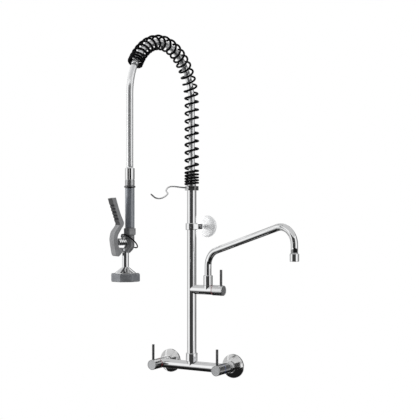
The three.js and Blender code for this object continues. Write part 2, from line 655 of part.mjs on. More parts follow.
function spoutRoute() {
  const right = new THREE.Vector3(1, 0, 0);
  const up = new THREE.Vector3(0, 0, 1);
  const bend = SPOUT_BEND_RADIUS;
  const slope = degrees(SPOUT_SLOPE);
  const foot = new THREE.Vector3(0, 0, SPOUT_FOOT);
  const firstCentre = new THREE.Vector3(bend, 0, SPOUT_FOOT + SPOUT_LEG);
  const firstBend = arcPoints(firstCentre, right, up, bend, 180, 90 + SPOUT_SLOPE, 8);
  const slopeStart = firstBend[firstBend.length - 1];
  const secondStartX = SPOUT_REACH - bend - bend * Math.sin(slope);
  const run = (secondStartX - slopeStart.x) / Math.cos(slope);
  const slopeDirection = new THREE.Vector3(Math.cos(slope), 0, Math.sin(slope));
  const downwards = new THREE.Vector3(Math.sin(slope), 0, -Math.cos(slope));
  const slopeEnd = slopeStart.clone().addScaledVector(slopeDirection, run);
  const secondCentre = slopeEnd.clone().addScaledVector(downwards, bend);
  const secondBend = arcPoints(secondCentre, right, up, bend, 90 + SPOUT_SLOPE, 0, 11);
  const end = secondBend[secondBend.length - 1].clone().add(new THREE.Vector3(0, 0, -SPOUT_DROP));
  return [foot, ...firstBend, ...secondBend, end];
}

function spoutTube(route) {
  const flareTop = SPOUT_FOOT + SPOUT_FLARE_THICKNESS;
  const flare = pipe(SWIVEL_COLLAR_RADIUS - FIT, SPOUT_BORE_RADIUS, SPOUT_FOOT, flareTop);
  const bore = rod(SPOUT_BORE_RADIUS, SPOUT_FOOT - 1, flareTop + SPOUT_FLARE_THICKNESS, SPOUT_SIDES);
  return cut(join(tubeAlong(route, SPOUT_RADIUS, SPOUT_BORE_RADIUS, SPOUT_SIDES), flare), bore);
}

// Aerator pieces, turned about the tube's end, heights from the end face of the tube.
function aeratorHousing() {
  const top = AERATOR_OVERLAP;
  const bottom = top - AERATOR_LENGTH;
  const cavity = AERATOR_RADIUS - 1.5;
  return turned([
    [cavity, bottom], [AERATOR_RADIUS - 0.5, bottom], [AERATOR_RADIUS, bottom + 0.5],
    [AERATOR_RADIUS, top - 0.8], [AERATOR_RADIUS - 0.8, top], [SPOUT_RADIUS + FIT, top],
    [SPOUT_RADIUS + FIT, 0], [cavity, -FIT], [cavity, bottom],
  ]);
}

function aeratorInsert() {
  const top = -3 * FIT;
  const bottom = AERATOR_OVERLAP - AERATOR_LENGTH + 1;
  const holes = Array.from({ length: AERATOR_HOLES }, (_, i) => {
    const hole = rod(AERATOR_HOLE_RADIUS, bottom - 1, top + 1, 6).translate(AERATOR_HOLE_CIRCLE, 0, 0);
    return hole.rotateZ((2 * Math.PI * i) / AERATOR_HOLES);
  });
  return cut(solid(rod(AERATOR_RADIUS - 1.5 - FIT, bottom, top)), ...holes);
}

function addSpout(core) {
  const swivel = addGroup(core, [SWIVEL_OFFSET, 0, 0], [0, 0, degrees(SPOUT_ANGLE)]);
  const route = spoutRoute();
  addPiece(swivel, 'spout_nut', chrome, spoutNut());
  addPiece(swivel, 'spout_bushing', nylon, spoutBushing());
  addPiece(swivel, 'spout_tube', chrome, spoutTube(route));
  const tip = addGroup(swivel, route[route.length - 1].toArray());
  addPiece(tip, 'aerator_housing', chrome, aeratorHousing());
  addPiece(tip, 'aerator_insert', nylon, aeratorInsert());
}

// ---- Wall bracket: origin of the group on the riser axis at the bracket's height -------------------

function bracketClamp() {
  const half = CLAMP_WIDTH / 2;
  const lugSide = ROD_OFFSET + ROD_RADIUS + FIT + LUG_WALL;
  const whole = join(
    rod(CLAMP_RADIUS, -half, half),
    block([0, -LUG_FRONT, 2 - half], [lugSide, LUG_BACK, half - 2]),
  );
  return cut(whole,
    rod(RISER_RADIUS + FIT, -CLAMP_WIDTH, CLAMP_WIDTH),
    alongY(rod(ROD_RADIUS + FIT, LUG_WALL - LUG_FRONT, STANDOFF, SMALL_SIDES)).translate(ROD_OFFSET, 0, 0),
    alongX(rod(CLAMP_SCREW_RADIUS + FIT, ROD_OFFSET, 2 * lugSide, SMALL_SIDES)));
}

function clampScrew() {
  const tip = ROD_OFFSET + ROD_RADIUS + FIT;
  const seat = tip + LUG_WALL + FIT;
  const end = seat + CLAMP_SCREW_HEAD_LENGTH;
  return alongX(turned([
    [0, tip], [CLAMP_SCREW_RADIUS, tip], [CLAMP_SCREW_RADIUS, seat], [CLAMP_SCREW_HEAD_RADIUS, seat],
    [CLAMP_SCREW_HEAD_RADIUS, end], [0, end],
  ], SMALL_SIDES));
}

function bracketRod() {
  const front = FIT - LUG_FRONT + LUG_WALL;
  const back = STANDOFF - FLANGE_RIM - FIT;
  return alongY(rod(ROD_RADIUS, front, back, 16)).translate(ROD_OFFSET, 0, 0);
}

function wallFlange() {
  const body = solid(turned([
    [0, 0], [FLANGE_RADIUS - 0.6, 0], [FLANGE_RADIUS, 0.6], [FLANGE_RADIUS, FLANGE_RIM - 1],
    [FLANGE_RADIUS - 1.5, FLANGE_RIM + 1], [0.72 * FLANGE_RADIUS, FLANGE_DEPTH - 1.8],
    [FLANGE_BOSS_RADIUS + 2, FLANGE_DEPTH], [FLANGE_BOSS_RADIUS, FLANGE_DEPTH],
    [FLANGE_BOSS_RADIUS, FLANGE_BOSS_DEPTH - 0.8], [FLANGE_BOSS_RADIUS - 0.8, FLANGE_BOSS_DEPTH],
    [0, FLANGE_BOSS_DEPTH],
  ], WIDE_SIDES));
  return cut(body, rod(ROD_RADIUS + FIT, FLANGE_RIM, FLANGE_BOSS_DEPTH + 1, 16));
}

function addBracket(core) {
  const bracket = addGroup(core, [0, 0, BRACKET_HEIGHT]);
  addPiece(bracket, 'bracket_clamp', chrome, bracketClamp());
  addPiece(bracket, 'clamp_screw', satinSteel, clampScrew());
  addPiece(bracket, 'bracket_rod', chrome, bracketRod());
  const wall = addGroup(bracket, [ROD_OFFSET, STANDOFF, 0], [Math.PI / 2, 0, 0]);
  addPiece(wall, 'wall_flange', chrome, wallFlange());
}

// ---- Top of the riser: nut, hook, hose and spring --------------------------------------------------

function topNut() {
  const corner = hexRadius(TOP_NUT_HEX);
  const shoulder = RISER_TOP + FIT;
  const body = solid(turned([
    [0, TOP_NUT_BOTTOM], [corner, TOP_NUT_BOTTOM], [corner, NUT_FACE], [0, NUT_FACE],
  ], 6));
  const hookHole = alongY(rod(HOOK_WIRE_RADIUS + FIT, -corner, -RISER_RADIUS, SMALL_SIDES));
  return cut(body,
    rod(RISER_RADIUS + FIT, TOP_NUT_BOTTOM - 1, shoulder),
    rod(RISER_BORE_RADIUS, shoulder - 1, NUT_FACE + 1),
    hookHole.translate(0, 0, HOOK_HEIGHT));
}

function hook() {
  const points = HOOK_ROUTE.map(([front, sideways, rise]) =>
    new THREE.Vector3(sideways, -front, HOOK_HEIGHT + rise));
  const line = new THREE.CatmullRomCurve3(points, false, 'centripetal').getPoints(HOOK_STEPS);
  return tubeAlong(line, HOOK_WIRE_RADIUS, 0, 6);
}

function hoseTail() {
  const outer = RISER_BORE_RADIUS - FIT;
  const collar = NUT_FACE + FIT;
  const bottom = NUT_FACE - TAIL_LENGTH_BELOW;
  const top = NUT_FACE + TAIL_LENGTH_ABOVE;
  return turned([
    [HOSE_BORE_RADIUS, bottom], [outer, bottom], [outer, collar], [TAIL_COLLAR_RADIUS, collar],
    [TAIL_COLLAR_RADIUS, collar + TAIL_COLLAR_THICKNESS], [outer, collar + TAIL_COLLAR_THICKNESS],
    [outer, top], [HOSE_BORE_RADIUS, top], [HOSE_BORE_RADIUS, bottom],
  ]);
}

const FORWARD = new THREE.Vector3(0, -1, 0);
const UP = new THREE.Vector3(0, 0, 1);
const ARCH_CENTRE = new THREE.Vector3(0, -ARCH_RADIUS, ARCH_START);

// Points of the hose over the arch, by the angle that is left of it: 180 at the riser, 0 at the drop.
function archPoints(from, to) {
  const steps = Math.round((from - to) / HOSE_STEP_ANGLE);
  return arcPoints(ARCH_CENTRE, FORWARD, UP, ARCH_RADIUS, from, to, steps);
}

// Direction of the hose at such an angle, on its way to the drop.
function archDirection(angle) {
  const forwards = FORWARD.clone().multiplyScalar(Math.sin(degrees(angle)));
  return forwards.addScaledVector(UP, -Math.cos(degrees(angle)));
}

function hoseInSpring() {
  const foot = new THREE.Vector3(0, 0, HOSE_FOOT);
  const points = [foot, ...archPoints(180, SPRING_END_ANGLE)];
  const ends = { finish: archDirection(SPRING_END_ANGLE) };
  return tubeAlong(points, HOSE_RADIUS, HOSE_BORE_RADIUS, HOSE_SIDES, ends);
}

function hoseBend() {
  const start = SPRING_END_ANGLE - THREE.MathUtils.radToDeg(FIT / ARCH_RADIUS);
  const ends = { start: archDirection(start), finish: archDirection(0) };
  return tubeAlong(archPoints(start, 0), HOSE_RADIUS, 0, HOSE_SIDES, ends);
}

// Centreline of the spring at a distance from its foot: a vertical stretch, then the arch.
function springCentre(distance) {
  const straight = ARCH_START - SPRING_FOOT;
  if (distance < straight) {
    return { point: new THREE.Vector3(0, 0, SPRING_FOOT + distance), inward: FORWARD.clone() };
  }
  const angle = Math.PI - (distance - straight) / ARCH_RADIUS;
  const outward = FORWARD.clone().multiplyScalar(Math.cos(angle)).addScaledVector(UP, Math.sin(angle));
  return { point: ARCH_CENTRE.clone().addScaledVector(outward, ARCH_RADIUS), inward: outward.negate() };
}

function springPitch(share) {
  const next = SPRING_PITCHES.findIndex(([place]) => place >= share);
  if (next <= 0) return SPRING_PITCHES[0][1];
  const [[a, pitchA], [b, pitchB]] = [SPRING_PITCHES[next - 1], SPRING_PITCHES[next]];
  return THREE.MathUtils.mapLinear(share, a, b, pitchA, pitchB);
}

function springCentres() {
  const length = ARCH_START - SPRING_FOOT + degrees(180 - SPRING_END_ANGLE) * ARCH_RADIUS;
  const wireDiameter = 2 * WIRE_RADIUS;
  const side = new THREE.Vector3(1, 0, 0);
  const centres = [];
  let distance = WIRE_RADIUS;
  for (let step = 0; distance < length - wireDiameter; step += 1) {
    const angle = (2 * Math.PI * step) / CURL_STEPS;
    const { point, inward } = springCentre(distance);
    point.addScaledVector(inward, -SPRING_RADIUS * Math.cos(angle));
    centres.push(point.addScaledVector(side, -SPRING_RADIUS * Math.sin(angle)));
    distance += springPitch(distance / length) / CURL_STEPS;
  }
  const [first, second] = centres;
  const [beforeLast, last] = centres.slice(-2);
  const foot = first.clone().add(first.clone().sub(second).setLength(wireDiameter)).setZ(first.z);
  const tip = last.clone().add(last.clone().sub(beforeLast).setLength(wireDiameter));
  return [foot, ...centres, tip];
}

// Least free gap between one stretch of the wire and another, more than half a curl away.
function leastGap(centres) {
  let least = Infinity;
  for (let i = 0; i < centres.length; i += 1) {
    for (let j = i + CURL_STEPS / 2; j < centres.length - 1; j += 1) {
      const segment = new THREE.Line3(centres[j], centres[j + 1]);
      const nearest = segment.closestPointToPoint(centres[i], true, new THREE.Vector3());
      least = Math.min(least, nearest.distanceTo(centres[i]) - 2 * WIRE_RADIUS);
    }
  }
  return least;
}

function overheadSpring() {
  const centres = springCentres();
  const gap = leastGap(centres);
  const curls = (centres.length / CURL_STEPS).toFixed(1);
  console.log(`overhead spring: ${curls} curls, least gap ${gap.toFixed(2)} mm`);
  if (gap < SPRING_LEAST_GAP) throw new Error('the overhead spring touches itself');
  return wireAlong(centres, WIRE_RADIUS, WIRE_SIDES, false);
}

function addRiserTop(core) {
  addPiece(core, 'riser_top_nut', chrome, topNut());
  addPiece(core, 'hook', chrome, hook());
  addPiece(core, 'hose_tail', satinSteel, hoseTail());
  addPiece(core, 'hose_in_spring', hosePlastic, hoseInSpring());
  addPiece(core, 'overhead_spring', blackWire, overheadSpring());
  addPiece(core, 'hose_bend', hosePlastic, hoseBend());
}

// ---- Hanging hose and spray gun: local +X is the trigger side --------------------------------------

// The top of the drop is a cone, so that it can lean below the end of the bend.
function hoseDrop() {
  const top = ARCH_START - FIT;
  const shoulder = top - HOSE_RADIUS * Math.tan(degrees(SWING_RANGE));
  const bottom = GUN_TOP + FIT;
  const count = Math.round((top - bottom) / (5 * HOSE_RADIUS));
  const points = Array.from({ length: count + 1 }, (_, i) =>
    new THREE.Vector3(0, 0, THREE.MathUtils.lerp(bottom, top, i / count)));
  const envelope = turned([
    [0, bottom - 1], [2 * HOSE_RADIUS, bottom - 1], [2 * HOSE_RADIUS, shoulder - (top - shoulder)],
    [0, top],
  ]);
  return solid(tubeAlong(points, HOSE_RADIUS, 0, HOSE_SIDES)).intersect(solid(envelope));
}

function gunSwivelNut() {
  const grooveBottom = NUT_BOTTOM + NUT_GROOVE_RISE;
  const grooveTop = grooveBottom + NUT_GROOVE_WIDTH;
  const grooveRadius = NUT_RADIUS - NUT_GROOVE_DEPTH;
  const socketTop = NUT_BOTTOM + GRIP_STEM_LENGTH + FIT;
  const socket = GRIP_STEM_RADIUS + FIT;
  return turned([
    [socket, NUT_BOTTOM], [NUT_RADIUS, NUT_BOTTOM], [NUT_RADIUS, grooveBottom],
    [grooveRadius, grooveBottom], [grooveRadius, grooveTop], [NUT_RADIUS, grooveTop], [NUT_RADIUS, GUN_TOP],
    [GUN_BORE_RADIUS, GUN_TOP], [GUN_BORE_RADIUS, socketTop], [socket, socketTop], [socket, NUT_BOTTOM],
  ]);
}

function gripRing() {
  const top = NUT_BOTTOM - FIT;
  const stemTop = top + GRIP_STEM_LENGTH;
  return turned([
    [GUN_BORE_RADIUS, GRIP_RING_BOTTOM], [GRIP_RING_RADIUS - 0.6, GRIP_RING_BOTTOM],
    [GRIP_RING_RADIUS, GRIP_RING_BOTTOM + 0.6], [GRIP_RING_RADIUS, top - 0.6],
    [GRIP_RING_RADIUS - 0.6, top], [GRIP_STEM_RADIUS, top], [GRIP_STEM_RADIUS, stemTop],
    [GUN_BORE_RADIUS, stemTop], [GUN_BORE_RADIUS, GRIP_RING_BOTTOM],
  ]);
}

const grip = () => pipe(GRIP_RADIUS, GUN_BORE_RADIUS, GRIP_TOP - GRIP_LENGTH, GRIP_TOP);

function gunCollar() {
  const corner = hexRadius(COLLAR_HEX);
  const body = solid(turned([
    [0, COLLAR_BOTTOM], [corner, COLLAR_BOTTOM], [corner, COLLAR_TOP_HEIGHT], [0, COLLAR_TOP_HEIGHT],
  ], 6));
  return cut(body, rod(GUN_BORE_RADIUS, COLLAR_BOTTOM - 1, COLLAR_TOP_HEIGHT + 1, SMALL_SIDES));
}

// A turned body whose lower part moves sideways, as the casting does between the grip and the outlet.
function offsetBody(radiusAbove, radiusBelow, sides, overrun) {
  const top = BODY_TOP + overrun;
  const bottom = CONE_TOP + FIT - overrun;
  const body = turned([
    [0, bottom], [radiusBelow, bottom], [radiusBelow, BODY_TAPER_BOTTOM], [radiusAbove, BODY_TAPER_TOP],
    [radiusAbove, top], [0, top],
  ], sides);
  const places = body.attributes.position;
  for (let i = 0; i < places.count; i += 1) {
    const share = THREE.MathUtils.clamp(
      (BODY_TAPER_TOP - places.getZ(i)) / (BODY_TAPER_TOP - BODY_TAPER_BOTTOM), 0, 1);
    places.setX(i, places.getX(i) + share * OUTLET_OFFSET);
  }
  return body;
}

function hangingStud() {
  const end = BODY_RADIUS + STUD_LENGTH;
  const lip = alongX(rod(STUD_RADIUS, end - STUD_LIP_THICKNESS, end, SMALL_SIDES));
  return [
    alongX(rod(STUD_RADIUS, 0, end, SMALL_SIDES)).translate(0, 0, STUD_HEIGHT),
    lip.translate(0, 0, STUD_HEIGHT + STUD_LIP_RISE),
  ];
}

function sprayValveBody() {
  const boss = alongY(rod(PIVOT_BOSS_RADIUS, -PIVOT_BOSS_WIDTH / 2, PIVOT_BOSS_WIDTH / 2, 16));
  const arm = block(
    [0, -PIVOT_BOSS_WIDTH / 2, PIVOT_HEIGHT - PIVOT_BOSS_RADIUS + 1],
    [PIVOT_OFFSET, PIVOT_BOSS_WIDTH / 2, PIVOT_HEIGHT + PIVOT_BOSS_RADIUS - 1]);
  const whole = join(offsetBody(BODY_RADIUS, OUTLET_RADIUS, SIDES, 0),
    boss.translate(PIVOT_OFFSET, 0, PIVOT_HEIGHT), arm, ...hangingStud());
  const waterway = offsetBody(GUN_BORE_RADIUS, GUN_BORE_RADIUS + FIT, SMALL_SIDES, 1);
  const bonnetHole = alongX(rod(BONNET_SPIGOT_RADIUS + FIT, 0, 2 * BODY_RADIUS, 16));
  const pinHole = alongY(rod(PIVOT_PIN_RADIUS + FIT, -PIVOT_BOSS_WIDTH, PIVOT_BOSS_WIDTH, SMALL_SIDES));
  return cut(whole, waterway, bonnetHole.translate(0, 0, PLUNGER_HEIGHT),
    pinHole.translate(PIVOT_OFFSET, 0, PIVOT_HEIGHT));
}

function bonnet() {
  const grooveSpacing = (BONNET_END - BONNET_START) / (BONNET_GROOVES + 1);
  const start = BONNET_START;
  const inner = PLUNGER_RADIUS + FIT;
  const spigotStart = GUN_BORE_RADIUS + FIT;
  const outline = [[inner, spigotStart], [BONNET_SPIGOT_RADIUS, spigotStart], [BONNET_SPIGOT_RADIUS, start],
    [BONNET_RADIUS, start]];
  for (let i = 1; i <= BONNET_GROOVES; i += 1) {
    const place = start + i * grooveSpacing;
    outline.push([BONNET_RADIUS, place - 1], [BONNET_RADIUS - 1, place], [BONNET_RADIUS, place + 1]);
  }
  outline.push([BONNET_RADIUS, BONNET_END - 1], [BONNET_RADIUS - 1, BONNET_END], [inner, BONNET_END],
    [inner, spigotStart]);
  return alongX(turned(outline, SMALL_SIDES)).translate(0, 0, PLUNGER_HEIGHT);
}

function triggerEdge(knots) {
  const points = knots.map(([front, rise]) =>
    new THREE.Vector3(PIVOT_OFFSET + front, PIVOT_HEIGHT + rise, 0));
  return new THREE.CatmullRomCurve3(points, false, 'centripetal');
}

// Distance from the grip axis to an edge of the trigger at a height above its foot.
function triggerReach(edge, height) {
  const above = edge.getPoints(400).filter((point) => point.y >= BODY_TAPER_TOP);
  const nearest = above.reduce((best, point) =>
    (Math.abs(point.y - height) < Math.abs(best.y - height) ? point : best));
  return nearest.x;
}

function plunger() {
  const back = triggerEdge(TRIGGER_BACK);
  const reaches = [-1, 0, 1].map((k) => triggerReach(back, PLUNGER_HEIGHT + k * PLUNGER_RADIUS));
  const end = Math.min(...reaches) - 2 * FIT;
  return alongX(rod(PLUNGER_RADIUS, PLUNGER_INNER_END, end, SMALL_SIDES)).translate(0, 0, PLUNGER_HEIGHT);
}

function triggerLever() {
  const front = triggerEdge(TRIGGER_FRONT);
  const back = triggerEdge(TRIGGER_BACK);
  const outline = [...front.getSpacedPoints(TRIGGER_STEPS), ...back.getSpacedPoints(TRIGGER_STEPS).reverse()]
    .map((point) => new THREE.Vector2(point.x, point.y));
  const half = TRIGGER_WIDTH / 2;
  const blade = new THREE.ExtrudeGeometry(new THREE.Shape(outline),
    { depth: TRIGGER_WIDTH, bevelEnabled: false }).rotateX(Math.PI / 2).translate(0, half, 0);
  const eye = alongY(rod(PIVOT_BOSS_RADIUS, -half, half, 16)).translate(PIVOT_OFFSET, 0, PIVOT_HEIGHT);
  const slotHalf = PIVOT_BOSS_WIDTH / 2 + FIT;
  const slot = block(
    [0, -slotHalf, PIVOT_HEIGHT - 3 * PIVOT_BOSS_RADIUS],
    [PIVOT_OFFSET + PIVOT_BOSS_RADIUS + 2, slotHalf, PIVOT_HEIGHT + 3 * PIVOT_BOSS_RADIUS]);
  const pinHole = alongY(rod(PIVOT_PIN_RADIUS + FIT, -TRIGGER_WIDTH, TRIGGER_WIDTH, SMALL_SIDES));
  const grooves = Array.from({ length: TRIGGER_GROOVES }, (_, i) => {
    const height = PIVOT_HEIGHT + TRIGGER_GROOVE_RISE - i * TRIGGER_GROOVE_SPACING;
    const groove = alongY(rod(TRIGGER_GROOVE_RADIUS, -TRIGGER_WIDTH, TRIGGER_WIDTH, 6));
    return groove.translate(triggerReach(front, height), 0, height);
  });
  return cut(join(blade, eye), slot, pinHole.translate(PIVOT_OFFSET, 0, PIVOT_HEIGHT), ...grooves);
}

function triggerPin() {
  const seat = TRIGGER_WIDTH / 2 + FIT;
  return alongY(turned([
    [0, -seat], [PIVOT_PIN_RADIUS, -seat], [PIVOT_PIN_RADIUS, seat], [PIVOT_HEAD_RADIUS, seat],
    [PIVOT_HEAD_RADIUS, seat + PIVOT_HEAD_THICKNESS], [0, seat + PIVOT_HEAD_THICKNESS],
  ], SMALL_SIDES)).translate(PIVOT_OFFSET, 0, PIVOT_HEIGHT);
}

function holdRing() {
  const tilt = degrees(HOLD_RING_TILT);
  const front = BODY_RADIUS + STUD_LENGTH - STUD_LIP_THICKNESS - HOLD_WIRE_RADIUS - FIT;
  const seat = new THREE.Vector3(front, 0, STUD_HEIGHT + STUD_RADIUS + FIT + HOLD_WIRE_RADIUS);
  const back = new THREE.Vector3(-Math.cos(tilt), 0, -Math.sin(tilt));
  const across = new THREE.Vector3(0, 1, 0).applyAxisAngle(back, -degrees(HOLD_RING_ROLL));
  const centre = seat.addScaledVector(back, HOLD_RING_HALF_LENGTH);
  const centres = Array.from({ length: HOLD_RING_STEPS }, (_, i) => {
    const angle = (2 * Math.PI * i) / HOLD_RING_STEPS;
    return centre.clone().addScaledVector(back, -HOLD_RING_HALF_LENGTH * Math.cos(angle))
      .addScaledVector(across, HOLD_RING_HALF_WIDTH * Math.sin(angle));
  });
  return wireAlong(centres, HOLD_WIRE_RADIUS, 6, true);
}

// Spray head pieces have eight sides, with a corner on the trigger side.
const eightSided = (profile) => turned(profile, 8).rotateZ(Math.PI / 2).translate(OUTLET_OFFSET, 0, 0);

function sprayCone() {
  const spigot = GUN_BORE_RADIUS;
  const spigotTop = CONE_TOP + CONE_SPIGOT_LENGTH;
  const bore = spigot - 1.5;
  const inner = SKIRT_RADIUS - CONE_WALL;
  const skirtBottom = BUMPER_BOTTOM + FACE_RECESS - 1;
  const seat = BUMPER_TOP + FIT;
  return eightSided([
    [inner, skirtBottom], [SKIRT_RADIUS, skirtBottom], [SKIRT_RADIUS, seat], [CONE_RADIUS, seat],
    [CONE_RADIUS, CONE_BOTTOM], [OUTLET_RADIUS + 0.5, CONE_TOP], [spigot, CONE_TOP],
    [spigot, spigotTop], [bore, spigotTop], [bore, CONE_TOP - CONE_WALL],
    [inner, CONE_BOTTOM - 2 * CONE_WALL], [inner, skirtBottom],
  ]);
}

function bumper() {
  const inner = SKIRT_RADIUS + FIT + 0.1;
  return eightSided([
    [inner, BUMPER_BOTTOM], [BUMPER_RADIUS - BUMPER_BEVEL, BUMPER_BOTTOM],
    [BUMPER_RADIUS, BUMPER_BOTTOM + BUMPER_BEVEL], [BUMPER_RADIUS, BUMPER_TOP - BUMPER_BEVEL],
    [BUMPER_RADIUS - BUMPER_BEVEL, BUMPER_TOP], [inner, BUMPER_TOP], [inner, BUMPER_BOTTOM],
  ]);
}

function sprayFace() {
  const bottom = BUMPER_BOTTOM + FACE_RECESS;
  const top = bottom + FACE_THICKNESS;
  const radius = SKIRT_RADIUS - CONE_WALL - FIT - 0.1;
  const plate = eightSided([[0, bottom], [radius, bottom], [radius, top], [0, top]]);
  const holes = FACE_HOLE_CIRCLES.flatMap(([circle, count]) => Array.from({ length: count }, (_, i) =>
    rod(FACE_HOLE_RADIUS, bottom - 1, top + 1, 6).translate(circle, 0, 0)
      .rotateZ((2 * Math.PI * i) / count).translate(OUTLET_OFFSET, 0, 0)));
  return cut(solid(plate), ...holes);
}

function addGun(core) {
  const drop = addGroup(core, [0, -ARCH_REACH, 0]);
  addPiece(drop, 'hose_drop', hosePlastic, hoseDrop());
  addPiece(drop, 'gun_swivel_nut', chrome, gunSwivelNut());
  const gun = addGroup(drop, [0, 0, 0], [0, 0, degrees(GUN_ANGLE)]);
  addPiece(gun, 'grip_ring', chrome, gripRing());
  addPiece(gun, 'grip', gripPlastic, grip());
  addPiece(gun, 'gun_collar', castAlloy, gunCollar());
  addPiece(gun, 'spray_valve_body', castAlloy, sprayValveBody());
  addPiece(gun, 'bonnet', chrome, bonnet());
  addPiece(gun, 'plunger', satinSteel, plunger());
  addPiece(gun, 'trigger_lever', castAlloy, triggerLever());
  addPiece(gun, 'trigger_pin', satinSteel, triggerPin());
  addPiece(gun, 'hold_ring', blackWire, holdRing());
  addPiece(gun, 'spray_cone', chrome, sprayCone());
  addPiece(gun, 'bumper', greyRubber, bumper());
  addPiece(gun, 'spray_face', satinSteel, sprayFace());
}

// ---- Assembly --------------------------------------------------------------------------------------

const faucet = new THREE.Group();
addInlet(faucet, 'hot', 1, redEnamel);
addInlet(faucet, 'cold', -1, blueEnamel);

const core = addGroup(faucet, [0, -STANDOFF, 0]);
addPiece(core, 'mixing_bar', chrome, mixingBar());
addPiece(core, 'riser_nut', chrome, riserNut());
addPiece(core, 'riser', chrome, riser());

const branch = addGroup(core, [0, 0, BRANCH_HEIGHT]);
addPiece(branch, 'spout_branch', chrome, spoutBranch());
const spoutValve = addGroup(branch, [BRANCH_FACE, 0, 0], [Math.PI / 2, 0, Math.PI / 2], 'ZYX');
addValve(spoutValve, 'spout', darkRedEnamel, true);

addSpout(core);
addBracket(core);
addRiserTop(core);
addGun(core);

export default faucet;
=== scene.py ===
"""Looks of a wall-mounted commercial faucet with a hanging spray gun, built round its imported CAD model.

The panel's sizes are in metres. Profiles are in millimetres, in the model's own frame: +X is to the
right seen from the front, +Y goes into the wall, +Z is up, and the origin is on the wall, midway between
the two inlets.
"""

import math
from types import SimpleNamespace

import bmesh
import bpy
from bpy.props import FloatProperty, FloatVectorProperty, IntProperty, PointerProperty
from mathutils import Matrix, Vector


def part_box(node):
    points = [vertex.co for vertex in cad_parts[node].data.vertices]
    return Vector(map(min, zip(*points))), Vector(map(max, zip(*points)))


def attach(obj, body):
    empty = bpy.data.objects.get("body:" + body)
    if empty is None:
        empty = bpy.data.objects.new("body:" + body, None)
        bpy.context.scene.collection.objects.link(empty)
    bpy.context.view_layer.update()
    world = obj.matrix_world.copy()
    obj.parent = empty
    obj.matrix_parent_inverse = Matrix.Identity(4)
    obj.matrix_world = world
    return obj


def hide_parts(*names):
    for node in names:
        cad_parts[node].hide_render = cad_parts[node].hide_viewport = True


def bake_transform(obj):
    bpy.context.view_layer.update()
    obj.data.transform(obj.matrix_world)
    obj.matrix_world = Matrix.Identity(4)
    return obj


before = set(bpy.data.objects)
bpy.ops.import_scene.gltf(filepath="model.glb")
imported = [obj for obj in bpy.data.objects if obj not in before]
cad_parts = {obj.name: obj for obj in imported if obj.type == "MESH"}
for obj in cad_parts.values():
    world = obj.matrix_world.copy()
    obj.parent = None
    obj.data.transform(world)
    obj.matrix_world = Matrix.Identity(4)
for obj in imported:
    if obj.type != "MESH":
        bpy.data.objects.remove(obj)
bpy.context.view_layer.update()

bl_info = {
    "name": "Commercial wall faucet",
    "version": (1, 0, 0),
    "blender": (4, 5, 0),
    "location": "View3D > Sidebar > Faucet",
    "description": "Builds the faucet's finished pieces, its hanging hose and a plain studio",
    "category": "Object",
}

MM = 0.001
WELD = 0.001  # millimetres; points closer than this are one point
FLOW = "flow"  # attribute: cosine and sine round a section, and millimetres along the piece

UP = Vector((0, 0, 1))
FORWARD = Vector((0, -1, 0))
RIGHT = Vector((1, 0, 0))
QUARTER_TURN = math.pi / 2
FULL_TURN = 2 * math.pi


# ---- Sizes and colours that a user may change -------------------------------------------------------

def middle(node):
    """Middle of a CAD node's box, in metres."""
    low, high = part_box(node)
    return (low + high) / 2


def length(name, description, default):
    """A panel size in metres."""
    return FloatProperty(name=name, description=description, default=default, min=0.0,
                         subtype="DISTANCE", unit="LENGTH")


def angle(name, description, degrees):
    """A panel angle, given in degrees."""
    return FloatProperty(name=name, description=description, default=math.radians(degrees),
                         subtype="ANGLE", unit="ROTATION")


def colour(name, description, default):
    """A panel colour."""
    return FloatVectorProperty(name=name, description=description, default=default, min=0.0, max=1.0,
                               size=3, subtype="COLOR")


class FaucetSizes(bpy.types.PropertyGroup):
    """Main sizes, as the CAD model has them"""

    inlet_spacing: length("Inlet spacing", "Hot inlet axis to cold inlet axis",
                          (middle("cold_escutcheon") - middle("hot_escutcheon")).x)
    standoff: length("Standoff", "Wall face to the axis of the bar and riser", -middle("riser_nut").y)
    escutcheon_radius: length("Escutcheon radius", "Outside radius of the inlet covers", 0.0325)
    knob_radius: length("Knob radius", "Outside radius of the turning knobs", 0.014)
    lever_length: length("Lever length", "Knob surface to the end of its lever pin", 0.042)
    bar_radius: length("Bar radius", "Outside radius of the mixing bar", 0.0127)
    riser_radius: length("Riser radius", "Outside radius of the riser", 0.0128)
    riser_top: length("Riser top", "Height of the riser's upper end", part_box("riser")[1].z)
    branch_height: length("Branch height", "Height of the side branch's axis", 0.21)
    swivel_offset: length("Swivel offset", "Riser axis to the spout's swivel axis", middle("spout_nut").x)
    spout_radius: length("Spout radius", "Outside radius of the spout tube", 0.0092)
    spout_reach: length("Spout reach", "Swivel axis to the axis of the aerator", 0.306)
    spout_bend: length("Spout bend", "Bend radius of the spout's centreline", 0.0445)
    bracket_height: length("Bracket height", "Height of the wall bracket", middle("wall_flange").z)
    flange_radius: length("Flange radius", "Outside radius of the bracket's wall flange", 0.03)
    hose_radius: length("Hose radius", "Outside radius of the hose", 0.0085)
    arch_radius: length("Arch radius", "Radius of the hose's centreline over the top", 0.148)
    arch_start: length("Arch start", "Height where the hose leaves the vertical", 0.716)
    spring_radius: length("Spring radius", "Hose axis to the middle of the spring's wire", 0.0176)
    spring_wire: length("Spring wire", "Radius of the spring's wire", 0.0028)
    gun_top: length("Gun top", "Height where the hose enters the gun's nut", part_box("gun_swivel_nut")[1].z)
    grip_radius: length("Grip radius", "Outside radius of the spray gun's grip", 0.01175)
    trigger_width: length("Trigger width", "Width of the trigger's blade", 0.0265)
    bumper_radius: length("Bumper radius", "Axis to a corner of the rubber bumper", 0.0378)
    rounding: length("Edge rounding", "Width of the rounding on metal edges", 0.0004)


